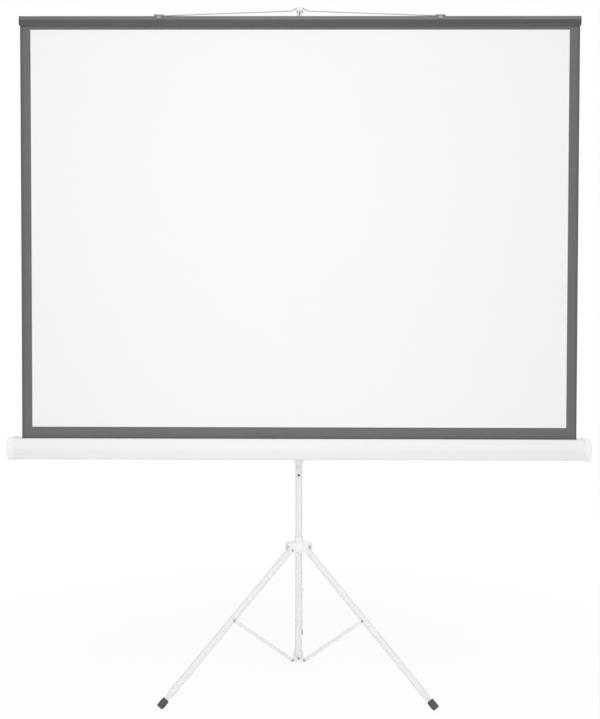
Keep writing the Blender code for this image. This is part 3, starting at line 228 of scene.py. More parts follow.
class ScreenSizes(bpy.types.PropertyGroup):
    """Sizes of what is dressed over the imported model"""

    picture_width: length_property("Picture width", "Width of the white viewing area", 1.500)
    picture_bottom: length_property("Picture bottom", "Height of the area's lower edge", 0.7443)
    picture_top: length_property("Picture top", "Height of the area's upper edge", 1.8522)
    cloth_thickness: length_property("Cloth thickness", "Thickness of the coated cloth", 0.45 * MM)
    edge_curl: length_property("Edge curl", "How far the cloth's side edges curl back", 1.6 * MM)
    roll_turns: FloatProperty(
        name="Roll turns",
        description="Turns of cloth left on the roller",
        default=3.4,
        min=1,
        max=6,
    )
    moulded_round: length_property("Moulded edge", "Rounding of moulded plastic edges", 0.5 * MM)
    metal_round: length_property("Metal edge", "Rounding of pressed and cut metal edges", 0.2 * MM)
    round_steps: IntProperty(
        name="Round steps",
        description="Facets round a tube",
        default=72,
        min=16,
        max=256,
    )


class ScreenColours(bpy.types.PropertyGroup):
    """Colours of the finishes"""

    powder: colour_property("Powder coat", "White paint of the tubes and the case", "#eeeeee")
    moulded: colour_property("White plastic", "Moulded yoke, caps and hook", "#f4f4f4")
    chrome: colour_property("Chrome", "Plated extension tube", "#d9dbde")
    zinc: colour_property("Zinc", "Plated wire, bolts and bracket", "#a3a5a8")
    rivet: colour_property("Rivets", "Dark plated screws and eyes", "#8e8f92")
    rubber: colour_property("Rubber", "Feet", "#505052")
    black: colour_property("Black plastic", "Knobs, button and bar caps", "#2b2b2d")
    # The bar's grey, shown on its lip, is partly the anodised tone and partly painted light
    bar: colour_property("Bar", "Anodised top bar", "#6a6a6b")
    # The front face's colour is the bar's grey darkened as painted shade
    bar_front_shaded: colour_property("Bar face", "Front face of the top bar, darker as painted shade", "#464647")
    # The underside's colour is lighter than the bar's as painted light, against the shade under the
    # bar
    bar_under_lightened: colour_property("Bar underside", "Underside of the top bar, lighter as painted light", "#a2a2a3")
    picture: colour_property("Picture", "Matte white projection surface", "#f3f3f3")
    border: colour_property("Border", "Black printed border", "#6a6a6b")
    backing: colour_property("Backing", "Black backing of the cloth", "#2e2e30")
    nylon: colour_property("Nylon", "Natural nylon plugs and bushes", "#dad8cf")


def sizes():
    """The sizes held by the scene."""
    return bpy.context.scene.screen_sizes


def colours():
    """The colours held by the scene."""
    return bpy.context.scene.screen_colours


# Materials


def add_node(tree, kind, settings=None, links=None):
    """Adds a node, sets its sockets or properties by name and links sockets into its inputs."""
    node = tree.nodes.new(kind)
    for key, value in (settings or {}).items():
        if key in node.inputs:
            node.inputs[key].default_value = value
        else:
            setattr(node, key, value)
    for key, socket in (links or {}).items():
        tree.links.new(socket, node.inputs[key])
    return node


def start_material(name, roughness, metallic=0.0):
    """A material with a Principled shader. Returns it with its node tree and shader."""
    made = bpy.data.materials.new(name)
    made.use_nodes = True
    shader = made.node_tree.nodes["Principled BSDF"]
    shader.inputs["Roughness"].default_value = roughness
    shader.inputs["Metallic"].default_value = metallic
    return made, made.node_tree, shader


def place(tree, stretch=(1, 1, 1)):
    """Object coordinates in metres, stretched along the axes."""
    coords = add_node(tree, "ShaderNodeTexCoord").outputs["Object"]
    mapped = add_node(tree, "ShaderNodeMapping", {"Scale": stretch}, {"Vector": coords})
    return mapped.outputs["Vector"]


def noise(tree, where, size, detail=2.0, roughness=0.5):
    """Noise whose features are about size metres across."""
    settings = {"Scale": 1 / size, "Detail": detail, "Roughness": roughness}
    return add_node(tree, "ShaderNodeTexNoise", settings, {"Vector": where}).outputs["Fac"]


def tint(tree, shader, colour, amount, by):
    """Base colour that goes from darker to lighter than a colour, by a value from 0 to 1."""
    low = (*[c * (1 - amount) for c in colour], 1)
    high = (*[min(1.0, c * (1 + amount)) for c in colour], 1)
    mixed = add_node(tree, "ShaderNodeMixRGB", {"Color1": low, "Color2": high}, {"Fac": by})
    tree.links.new(mixed.outputs["Color"], shader.inputs["Base Color"])


def vary_roughness(tree, shader, low, high, by):
    """Roughness between two values."""
    settings = {"From Min": NOISE_LOW, "From Max": NOISE_HIGH, "To Min": low, "To Max": high}
    mapped = add_node(tree, "ShaderNodeMapRange", settings, {"Value": by})
    tree.links.new(mapped.outputs["Result"], shader.inputs["Roughness"])


def bump(tree, shader, depth, height, strength):
    """Relief of a depth in metres."""
    settings = {"Distance": depth, "Strength": strength}
    node = add_node(tree, "ShaderNodeBump", settings, {"Height": height})
    tree.links.new(node.outputs["Normal"], shader.inputs["Normal"])


def powder_coated_steel():
    """White powder coat, sprayed dry and baked: a low satin gloss with fine orange peel."""
    made, tree, shader = start_material("powder_coated_steel_sprayed", 0.62)
    where = place(tree)
    # Clouds 90 mm across: the coat's thickness varies a little
    tint(tree, shader, colours().powder, 0.012, noise(tree, where, 90 * MM))
    vary_roughness(tree, shader, 0.57, 0.67, noise(tree, where, 35 * MM))
    # Orange peel, 2.5 mm from crest to crest
    bump(tree, shader, 0.010 * MM, noise(tree, where, 2.5 * MM, 1.0), 0.3)
    return made


def moulded_abs():
    """White ABS moulded in a spark-eroded tool: an even, slightly grained semi-gloss."""
    made, tree, shader = start_material("abs_white_moulded", 0.38)
    where = place(tree)
    tint(tree, shader, colours().moulded, 0.010, noise(tree, where, 40 * MM))
    vary_roughness(tree, shader, 0.33, 0.42, noise(tree, where, 12 * MM))
    # The real grain is 0.1 mm, drawn at 0.8 mm so that it shows
    bump(tree, shader, 0.015 * MM, noise(tree, where, 0.8 * MM, 1.0), 0.35)
    return made


def chrome_plate():
    """Chromed steel tube, drawn and polished: a mirror with faint lines along the tube."""
    made, tree, shader = start_material("chromed_steel_drawn_tube", 0.10, 1.0)
    along = place(tree, (1, 1, 0.01))
    tint(tree, shader, colours().chrome, 0.02, noise(tree, along, 1.5 * MM))
    vary_roughness(tree, shader, 0.07, 0.15, noise(tree, along, 0.8 * MM))
    bump(tree, shader, 0.003 * MM, noise(tree, along, 1.0 * MM, 1.0), 0.3)
    return made


def zinc_plate():
    """Zinc-plated steel, barrel plated and passivated: a soft grey metal with cloudy patches."""
    made, tree, shader = start_material("zinc_plated_steel", 0.34, 1.0)
    where = place(tree)
    tint(tree, shader, colours().zinc, 0.10, noise(tree, where, 9 * MM, 3.0))
    vary_roughness(tree, shader, 0.26, 0.44, noise(tree, where, 5 * MM, 3.0))
    bump(tree, shader, 0.01 * MM, noise(tree, where, 0.7 * MM), 0.4)
    return made


def dark_plate():
    """Steel rivets, headed cold and plated dark: smooth crowns, worn lighter in places."""
    made, tree, shader = start_material("dark_plated_steel_headed", 0.36, 1.0)
    where = place(tree)
    tint(tree, shader, colours().rivet, 0.22, noise(tree, where, 3 * MM, 3.0))
    vary_roughness(tree, shader, 0.28, 0.46, noise(tree, where, 2 * MM))
    return made


def moulded_rubber():
    """Black rubber, compression moulded: matte, finely pitted and a little dusty."""
    made, tree, shader = start_material("rubber_black_moulded", 0.74)
    where = place(tree)
    tint(tree, shader, colours().rubber, 0.16, noise(tree, where, 6 * MM, 4.0, 0.6))
    vary_roughness(tree, shader, 0.66, 0.84, noise(tree, where, 4 * MM))
    bump(tree, shader, 0.04 * MM, noise(tree, where, 0.9 * MM), 0.6)
    return made


def black_abs():
    """Black ABS with a fine moulded grain."""
    made, tree, shader = start_material("abs_black_moulded", 0.46)
    where = place(tree)
    tint(tree, shader, colours().black, 0.10, noise(tree, where, 10 * MM))
    vary_roughness(tree, shader, 0.40, 0.54, noise(tree, where, 5 * MM))
    bump(tree, shader, 0.02 * MM, noise(tree, where, 0.7 * MM, 1.0), 0.5)
    return made


def anodised_aluminium():
    """Extruded aluminium, anodised dark grey: a satin skin with die lines along the bar."""
    made, tree, shader = start_material("anodised_aluminium_extruded", 0.40, 0.35)
    # On the lip that leans up, this grey is set lighter than the front face below: partly the bar's
    # anodised grey, partly painted light for the light the lip catches
    along = place(tree, (0.004, 1, 1))
    tint(tree, shader, colours().bar, 0.05, noise(tree, along, 1.6 * MM, 3.0))
    vary_roughness(tree, shader, 0.34, 0.46, noise(tree, along, 2.2 * MM))
    # Die lines 1.2 mm apart
    bump(tree, shader, 0.012 * MM, noise(tree, along, 1.2 * MM), 0.5)
    return made


def lightened_bar_under():
    """The bar's underside, coloured pale as painted light against the shade that falls there: a
    satin metal with die lines along the bar.
    """
    made, tree, shader = start_material("aluminium_under_painted_light", 0.42, 0.35)
    along = place(tree, (0.004, 1, 1))
    tint(tree, shader, colours().bar_under_lightened, 0.05, noise(tree, along, 1.6 * MM, 3.0))
    vary_roughness(tree, shader, 0.36, 0.48, noise(tree, along, 2.2 * MM))
    bump(tree, shader, 0.012 * MM, noise(tree, along, 1.2 * MM), 0.5)
    return made


def shaded_bar_front():
    """The bar's lower front face: the bar's grey darkened as painted shade, where the face leans
    down from the light, and a little more matte; darker and more even than the lip above.
    """
    made, tree, shader = start_material("aluminium_front_painted_shade", 0.55)
    along = place(tree, (0.004, 1, 1))
    tint(tree, shader, colours().bar_front_shaded, 0.04, noise(tree, along, 2.0 * MM, 2.0))
    vary_roughness(tree, shader, 0.50, 0.60, noise(tree, along, 3.0 * MM))
    bump(tree, shader, 0.008 * MM, noise(tree, along, 1.2 * MM), 0.4)
    return made


def natural_nylon():
    """Unfilled nylon, moulded: slightly warm and waxy."""
    made, tree, shader = start_material("nylon_natural_moulded", 0.45)
    where = place(tree)
    tint(tree, shader, colours().nylon, 0.03, noise(tree, where, 14 * MM))
    vary_roughness(tree, shader, 0.40, 0.52, noise(tree, where, 6 * MM))
    bump(tree, shader, 0.012 * MM, noise(tree, where, 0.8 * MM, 1.0), 0.4)
    return made


def weave_height(tree, pitch):
    """Plain weave read from the cloth's UV map in metres: two waves a thread apart, crossed."""
    flat = add_node(tree, "ShaderNodeUVMap", {"uv_map": "cloth"}).outputs["UV"]
    settings = {"Scale": 1 / (2 * pitch * math.pi), "Distortion": 0.2, "Detail": 1.0}
    threads = {}
    for socket, bands in enumerate("XY"):
        directed = {**settings, "bands_direction": bands}
        wave = add_node(tree, "ShaderNodeTexWave", directed, {"Vector": flat})
        threads[socket] = wave.outputs["Fac"]
    crossed = add_node(tree, "ShaderNodeMath", {"operation": "MULTIPLY"}, threads)
    return flat, crossed.outputs["Value"]


def coated_cloth(name, colour, low, high, pitch, depth, clouds):
    """Woven glass cloth coated with PVC: a matte skin in which the weave just shows."""
    made, tree, shader = start_material(name, (low + high) / 2)
    flat, height = weave_height(tree, pitch)
    tint(tree, shader, colour, clouds, noise(tree, flat, 260 * MM, 3.0))
    vary_roughness(tree, shader, low, high, noise(tree, flat, 120 * MM))
    bump(tree, shader, depth, height, 0.5)
    shader.inputs["Specular IOR Level"].default_value = 0.25
    return made


def picture_cloth():
    """The matte white front. The weave is 0.5 mm, drawn at 1.5 mm so that it shows close up."""
    colour = colours().picture
    return coated_cloth("pvc_cloth_matte_white", colour, 0.86, 0.94, 1.5 * MM, 0.01 * MM, 0.004)


def border_print():
    """Black ink screen-printed on the same cloth: it shows dark grey under light."""
    colour = colours().border
    return coated_cloth("pvc_cloth_printed_black", colour, 0.50, 0.60, 1.5 * MM, 0.01 * MM, 0.04)


def cloth_backing():
    """The black coating that keeps light from passing, with a coarser weave showing through."""
    colour = colours().backing
    return coated_cloth("pvc_cloth_black_backing", colour, 0.62, 0.74, 2.0 * MM, 0.03 * MM, 0.05)


FINISHES = {
    "white_powder_coat": powder_coated_steel,
    "white_plastic": moulded_abs,
    "chromed_steel": chrome_plate,
    "zinc_steel": zinc_plate,
    "dark_steel": dark_plate,
    "black_rubber": moulded_rubber,
    "black_plastic": black_abs,
    "dark_bar": anodised_aluminium,
    "bar_front_shaded": shaded_bar_front,
    "bar_under_lightened": lightened_bar_under,
    "nylon": natural_nylon,
    "picture": picture_cloth,
    "border": border_print,
    "backing": cloth_backing,
}
made_finishes = {}


def finish(name):
    """The material of a finish, made once."""
    if name not in made_finishes:
        made_finishes[name] = FINISHES[name]()
    return made_finishes[name]


# Modelling


def axes_matrix(origin, across, along, up):
    """The matrix whose local X, Y and Z are the given directions, at an origin."""
    turn = Matrix((across, along, up)).transposed()
    return Matrix.Translation(origin) @ turn.to_4x4()


def leg_matrix(key):
    """A leg's frame: origin on its pivot, Z up along the leg, X towards its brace."""
    radial, side = LEGS[key]
    along = -radial * math.sin(LEG_TILT) + UP * math.cos(LEG_TILT)
    origin = Vector((MAST_X, MAST_Y, LEG_PIVOT_Z)) + radial * LEG_PIVOT_R
    return axes_matrix(origin, side, along.cross(side), along)


def turned_mesh(profile, closed=False, steps=None):
    """A solid turned about Z from (radius, height) points. An open profile ends on the axis."""
    bm = bmesh.new()
    verts = [bm.verts.new((radius, 0, height)) for radius, height in profile]
    edges = [bm.edges.new(pair) for pair in zip(verts, verts[1:])]
    if closed:
        edges.append(bm.edges.new((verts[-1], verts[0])))
    bmesh.ops.spin(
        bm,
        geom=verts + edges,
        cent=(0, 0, 0),
        axis=(0, 0, 1),
        dvec=(0, 0, 0),
        angle=2 * math.pi,
        steps=steps or sizes().round_steps,
        use_merge=True,
        use_duplicate=False,
    )
    return bm


def turned_tube(node):
    """A tube's wall about Z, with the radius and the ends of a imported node."""
    low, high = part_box(node)
    outer = (high.x - low.x) / 2
    inner = outer - TUBE_WALL
    profile = [(outer, high.z), (outer, low.z), (inner, low.z), (inner, high.z)]
    return turned_mesh(profile, closed=True)


def node_mesh(node):
    """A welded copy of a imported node, its flat facets joined, to be given round edges."""
    bm = bmesh.new()
    bm.from_mesh(frame["nodes"][node].data)
    bmesh.ops.remove_doubles(bm, verts=bm.verts, dist=NODE_WELD)
    bmesh.ops.dissolve_limit(bm, angle_limit=FLAT_ANGLE, verts=bm.verts, edges=bm.edges)
    return bm


def show(
    bm,
    name,
    body,
    finishes,
    stands_for=(),
    edge=0.0,
    segments=2,
    matrix=None,
    crisp=CRISP_DEGREES,
    keep_normals=False,
):
    """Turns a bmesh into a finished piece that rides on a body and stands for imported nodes."""
    if matrix:
        bmesh.ops.transform(bm, matrix=matrix, verts=bm.verts)
    if not keep_normals:
        bmesh.ops.remove_doubles(bm, verts=bm.verts, dist=WELD)
        bmesh.ops.recalc_face_normals(bm, faces=bm.faces)
    mesh = bpy.data.meshes.new(name)
    bm.to_mesh(mesh)
    bm.free()
    mesh.shade_smooth()
    mesh.set_sharp_from_angle(angle=math.radians(crisp))
    piece = bpy.data.objects.new(name, mesh)
    bpy.context.scene.collection.objects.link(piece)
    names = [finishes] if isinstance(finishes, str) else finishes
    for each in names:
        mesh.materials.append(finish(each))
    if edge:
        round_edges(piece, edge, segments)
    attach(piece, body)
    if stands_for:
        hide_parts(*stands_for)
    return piece


def dress(node, name, body, finishes, edge=0.0, segments=2, crisp=CRISP_DEGREES):
    """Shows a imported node's own shape as a finished piece that stands for it."""
    return show(node_mesh(node), name, body, finishes, [node], edge, segments, crisp=crisp)


def round_edges(piece, width, segments):
    """Rounds a piece's edges, as moulding, rolling or tumbling does."""
    bevel = piece.modifiers.new("round_edges", "BEVEL")
    bevel.width = width
    bevel.segments = segments
    bevel.limit_method = "ANGLE"
    bevel.angle_limit = ROUND_ANGLE
    bevel.harden_normals = True
    bevel.use_clamp_overlap = True


def rivet_profile(shank, head, low, high, crown):
    """A domed head above a shank, from low to high, then the crown's rise."""
    dome = [(head * across, high + crown * rise) for across, rise in CROWN_CURVE]
    return dome + [(head, high), (shank, high), (shank, low), (0, low)]


class PieceOperator(bpy.types.Operator):
    """Builds one group of pieces"""

    bl_options = {"REGISTER", "UNDO"}

    def execute(self, context):
        self.build()
        return {"FINISHED"}


class SCREEN_OT_mast(PieceOperator):
    """Builds the main tube, its foot hub and its top collar"""

    bl_idname = "screen.mast"
    bl_label = "Mast"

    def build(self):
        edge = sizes().metal_round
        tube = turned_tube("main_tube")
        show(tube, "mast_tube", "mast", "white_powder_coat", ["main_tube"], edge, matrix=MAST)
        dress("mast_hub", "mast_hub_socket", "mast", "white_powder_coat", edge)
        dress("mast_top_collar", "mast_collar", "mast", "white_plastic", sizes().moulded_round)


class SCREEN_OT_extension(PieceOperator):
    """Builds the chromed extension tube and its hook"""

    bl_idname = "screen.extension"
    bl_label = "Extension"

    def build(self):
        show(
            turned_tube("extension_tube"),
            "extension_chrome_tube",
            "extension",
            "chromed_steel",
            ["extension_tube"],
            sizes().metal_round,
            matrix=MAST,
        )
        edge = sizes().moulded_round
        dress("hanger_hook", "hanging_hook", "extension", "white_plastic", edge, segments=3)


class SCREEN_OT_carriage(PieceOperator):
    """Builds the sliding carriage that holds the case"""

    bl_idname = "screen.carriage"
    bl_label = "Carriage"

    def build(self):
        edge = sizes().moulded_round
        dress("carriage_sleeve", "carriage_body", "carriage", "white_plastic", edge, segments=3)


class SCREEN_OT_case(PieceOperator):
    """Builds the case, its end caps and its bracket"""

    bl_idname = "screen.case"
    bl_label = "Case"

    def build(self):
        metal, moulded = sizes().metal_round, sizes().moulded_round
        dress("case_shell", "case_steel_shell", "case", "white_powder_coat", metal, crisp=25)
        for end in ("left", "right"):
            dress(f"case_end_cap_{end}", f"case_cap_{end}", "case", "white_plastic", moulded)
        dress("case_bracket", "case_hat_bracket", "case", "zinc_steel", metal)


class SCREEN_OT_roller(PieceOperator):
    """Builds the turns of cloth left on the roller"""

    bl_idname = "screen.roller"
    bl_label = "Roller"

    def build(self):
        low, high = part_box("fabric_roll")
        tube_low, tube_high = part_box("roller_tube")
        thickness = sizes().cloth_thickness
        outer = (high.z - low.z) / 2 - thickness
        inner = (tube_high.z - tube_low.z) / 2 + thickness
        count = int(ROLL_FACETS_PER_TURN * sizes().roll_turns)
        bm = bmesh.new()
        line = []
        for step in range(count + 1):
            angle = math.pi + 2 * math.pi * sizes().roll_turns * (step / count - 1)
            radius = inner + (outer - inner) * step / count
            y = ROLL_CENTRE.y + radius * math.cos(angle)
            z = ROLL_CENTRE.z + radius * math.sin(angle)
            line.append(bm.verts.new((low.x, y, z)))
        edges = [bm.edges.new(pair) for pair in zip(line, line[1:])]
        made = bmesh.ops.extrude_edge_only(bm, edges=edges)["geom"]
        moved = [item for item in made if isinstance(item, bmesh.types.BMVert)]
        bmesh.ops.translate(bm, verts=moved, vec=(high.x - low.x, 0, 0))
        lay_uv(bm, lambda co: (co.x, co.z))
        finishes = ["backing", "picture"]
        crisp = CLOTH_CRISP_DEGREES
        roll = show(bm, "cloth_turns", "roller", finishes, ["fabric_roll"], crisp=crisp)
        thicken(roll, thickness * ROLL_THICKNESS_SHARE, back_slot=1)


def lay_uv(bm, flat):
    """Writes the cloth's UV map, in metres, from each point's place."""
    layer = bm.loops.layers.uv.new("cloth")
    for face in bm.faces:
        for loop in face.loops:
            loop[layer].uv = flat(loop.vert.co)


def thicken(piece, thickness, back_slot):
    """Gives a sheet its thickness, evenly to both sides, with another material behind."""
    solid = piece.modifiers.new("thickness", "SOLIDIFY")
    solid.thickness = thickness
    solid.offset = 0
    solid.use_even_offset = True
    solid.material_offset = back_slot
    solid.material_offset_rim = back_slot


class SCREEN_OT_cloth(PieceOperator):
    """Builds the screen cloth with its printed border"""

    bl_idname = "screen.cloth"
    bl_label = "Cloth"

    def build(self):
        cloth = self.sheet("screen_cloth", "case", CLOTH_LOW.z, 0.0)
        hem_bottom = sizes().picture_top - HEM_HEIGHT
        behind = sizes().cloth_thickness * HEM_THICKNESSES_BEHIND
        hem = self.sheet("screen_cloth_hem", "screen", hem_bottom, behind)
        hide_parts("screen_fabric")
        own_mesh(cloth)

    def sheet(self, name, body, bottom, behind):
        """One upright sheet from a height up to the bar, with its border faces marked."""
        low = Vector((CLOTH_LOW.x, 0, bottom))
        high = Vector((CLOTH_HIGH.x, 0, CLOTH_HIGH.z))
        half = sizes().picture_width / 2
        bottom_edge, top_edge = sizes().picture_bottom, sizes().picture_top
        bm = bmesh.new()
        rows = max(2, int((high.z - low.z) / CLOTH_ROW))
        bmesh.ops.create_grid(bm, x_segments=CLOTH_COLUMNS, y_segments=rows, size=0.5)
        bmesh.ops.scale(bm, verts=bm.verts, vec=(high.x - low.x, high.z - low.z, 1))
        bmesh.ops.rotate(bm, verts=bm.verts, matrix=Matrix.Rotation(math.pi / 2, 3, "X"))
        centre = ((low.x + high.x) / 2, 0, (low.z + high.z) / 2)
        bmesh.ops.translate(bm, verts=bm.verts, vec=centre)
        lines = [((x, 0, 0), (1, 0, 0)) for x in (-half, half)]
        lines += [((0, 0, z), (0, 0, 1)) for z in (bottom_edge, top_edge)]
        for point, normal in lines:
            geom = bm.verts[:] + bm.edges[:] + bm.faces[:]
            bmesh.ops.bisect_plane(bm, geom=geom, dist=WELD, plane_co=point, plane_no=normal)
        for face in bm.faces:
            middle = face.calc_center_median()
            in_picture = abs(middle.x) < half and bottom_edge < middle.z < top_edge
            face.material_index = 0 if in_picture else 1
        lay_uv(bm, lambda co: (co.x, co.z))
        for vert in bm.verts:
            vert.co.y = CLOTH_Y + behind + self.bow(vert.co)
        if bm.faces[:][0].normal.y > 0:
            bmesh.ops.reverse_faces(bm, faces=bm.faces)
        bm.normal_update()
        finishes = ["picture", "border", "backing", "backing"]
        piece = show(bm, name, body, finishes, crisp=CLOTH_CRISP_DEGREES, keep_normals=True)
        thicken(piece, sizes().cloth_thickness, back_slot=2)
        return piece

    def bow(self, co):
        """How far back the cloth stands at a point, by its curl and its ripples."""
        span = (co.z - CLOTH_LOW.z) / (CLOTH_HIGH.z - CLOTH_LOW.z)
        held = math.sin(math.pi * min(1, max(0, span))) ** HOLD_POWER
        side = (abs(co.x) / CLOTH_HIGH.x) ** CURL_POWER
        ripple = sum(share * math.sin(co.x * x + co.z * z) for share, x, z in RIPPLES)
        return sizes().edge_curl * held * (side + RIPPLE_SHARE * ripple)


class SCREEN_OT_bar(PieceOperator):
    """Builds the top bar, its end caps and the bail's eyes"""

    bl_idname = "screen.bar"
    bl_label = "Top bar"

    def build(self):
        edge = sizes().metal_round
        finishes = ["dark_bar", "bar_front_shaded", "bar_under_lightened"]
        bar = node_mesh("top_bar")
        # Forward-looking faces below the ridge get the darker colour (painted shade),
        # downward-looking faces get the lighter one (painted light), and the lip keeps the bar's
        # grey
        for face in bar.faces:
            low = face.calc_center_median().z < BAR_HIGH.z - BAR_RIDGE_DOWN
            if low and face.normal.y < FRONT_NORMAL_Y:
                face.material_index = finishes.index("bar_front_shaded")
            elif face.normal.z < UNDER_NORMAL_Z:
                face.material_index = finishes.index("bar_under_lightened")
            else:
                face.material_index = 0
        show(bar, "screen_top_bar", "screen", finishes, ["top_bar"], crisp=18)
        for end in ("left", "right"):
            dress(f"bar_end_cap_{end}", f"bar_cap_{end}", "screen", "black_plastic", edge)
            dress(f"bail_eye_{end}", f"bail_saddle_{end}", "screen", "dark_steel", edge)
            self.make_rivets(end, centre_of(f"bail_eye_{end}").x)

    def make_rivets(self, end, middle):
        """Two small rivets on the bar's leaning upper face, one on each side of an eye's strap."""
        across = Vector((1, 0, 0))
        outward = Vector((0, -BAR_RIDGE_DOWN, BAR_TOP_SETBACK)).normalized()
        share = RIVET_DOWN / BAR_RIDGE_DOWN
        y = BAR_LOW.y + BAR_TOP_SETBACK * (1 - share)
        profile = rivet_profile(RIVET_SHANK, RIVET_HEAD, -RIVET_DEPTH, RIVET_GAP, RIVET_CROWN)
        for number, side in enumerate((-1, 1), 1):
            origin = Vector((middle + side * RIVET_ASIDE, y, BAR_HIGH.z - RIVET_DOWN))
            matrix = axes_matrix(origin, across, outward.cross(across), outward)
            rivet = turned_mesh(profile, steps=RIVET_STEPS)
            show(rivet, f"bar_rivet_{end}_{number}", "screen", "zinc_steel", matrix=matrix)


class SCREEN_OT_bail(PieceOperator):
    """Builds the wire bail"""

    bl_idname = "screen.bail"
    bl_label = "Bail"

    def build(self):
        dress("hanger_bail", "hanging_bail", "bail", "zinc_steel", crisp=50)


class SCREEN_OT_yoke(PieceOperator):
    """Builds the moulded yoke that carries the legs"""

    bl_idname = "screen.yoke"
    bl_label = "Yoke"

    def build(self):
        edge = sizes().moulded_round
        dress("leg_yoke", "leg_yoke_body", "yoke", "white_plastic", edge, segments=3)


class SCREEN_OT_legs(PieceOperator):
    """Builds the three legs with their feet"""

    bl_idname = "screen.legs"
    bl_label = "Legs"

    def build(self):
        tube_end = NECK_LENGTH + FOOT_LENGTH - LEG_LENGTH
        foot_top = FOOT_LENGTH - LEG_LENGTH
        metal, moulded = sizes().metal_round, sizes().moulded_round
        for key in LEGS:
            matrix = leg_matrix(key)
            body = f"{key}_leg"
            show(
                turned_mesh(self.tube_section(tube_end), closed=True),
                f"{key}_leg_steel_tube",
                body,
                "white_powder_coat",
                [f"{key}_leg_tube"],
                metal,
                matrix=matrix,
            )
            foot = turned_mesh(self.foot_profile(foot_top))
            bmesh.ops.transform(foot, matrix=matrix, verts=foot.verts)
            self.stand_flat(foot)
            stands_for = [f"{key}_rubber_foot"]
            show(foot, f"{key}_foot", body, "black_rubber", stands_for, moulded, segments=3)

    def tube_section(self, end):
        """Wall of a leg tube, narrowed at its lower end."""
        outside = [
            (LEG_RADIUS, LEG_TOP),
            (LEG_RADIUS, end + SWAGE_LENGTH),
            (SWAGE_RADIUS, end + SWAGE_END),
            (SWAGE_RADIUS, end),
        ]
        inside = [(radius - LEG_WALL, height) for radius, height in reversed(outside)]
        return outside + inside

    def foot_profile(self, top):
        """Half section of a rubber foot with its socket."""
        return [
            (0, top - FOOT_BORE_DEPTH),
            (FOOT_BORE_RADIUS, top - FOOT_BORE_DEPTH),
            (FOOT_BORE_RADIUS, top),
            (FOOT_TOP_RADIUS, top),
            (FOOT_RADIUS, top - FOOT_LENGTH / 3),
            (FOOT_RADIUS, FOOT_CHAMFER - LEG_LENGTH),
            (FOOT_RADIUS - FOOT_CHAMFER, -LEG_LENGTH),
            (0, -LEG_LENGTH),
        ]

    def stand_flat(self, foot):
        """Cuts a foot level with the floor and closes the cut."""
        geom = foot.verts[:] + foot.edges[:] + foot.faces[:]
        made = bmesh.ops.bisect_plane(
            foot,
            geom=geom,
            dist=WELD,
            plane_co=(0, 0, 0),
            plane_no=(0, 0, -1),
            clear_outer=True,
        )
        edges = [item for item in made["geom_cut"] if isinstance(item, bmesh.types.BMEdge)]
        bmesh.ops.edgenet_fill(foot, edges=edges)


class SCREEN_OT_remaining(PieceOperator):
    """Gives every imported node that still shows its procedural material"""

    bl_idname = "screen.remaining"
    bl_label = "Remaining nodes"

    def build(self):
        slots = {row["node"]: row["material_slot"] for row in frame["record"]["subparts"]}
        for name, node in frame["nodes"].items():
            if node.hide_render:
                continue
            node.data.materials.clear()
            node.data.materials.append(finish(slots[name]))


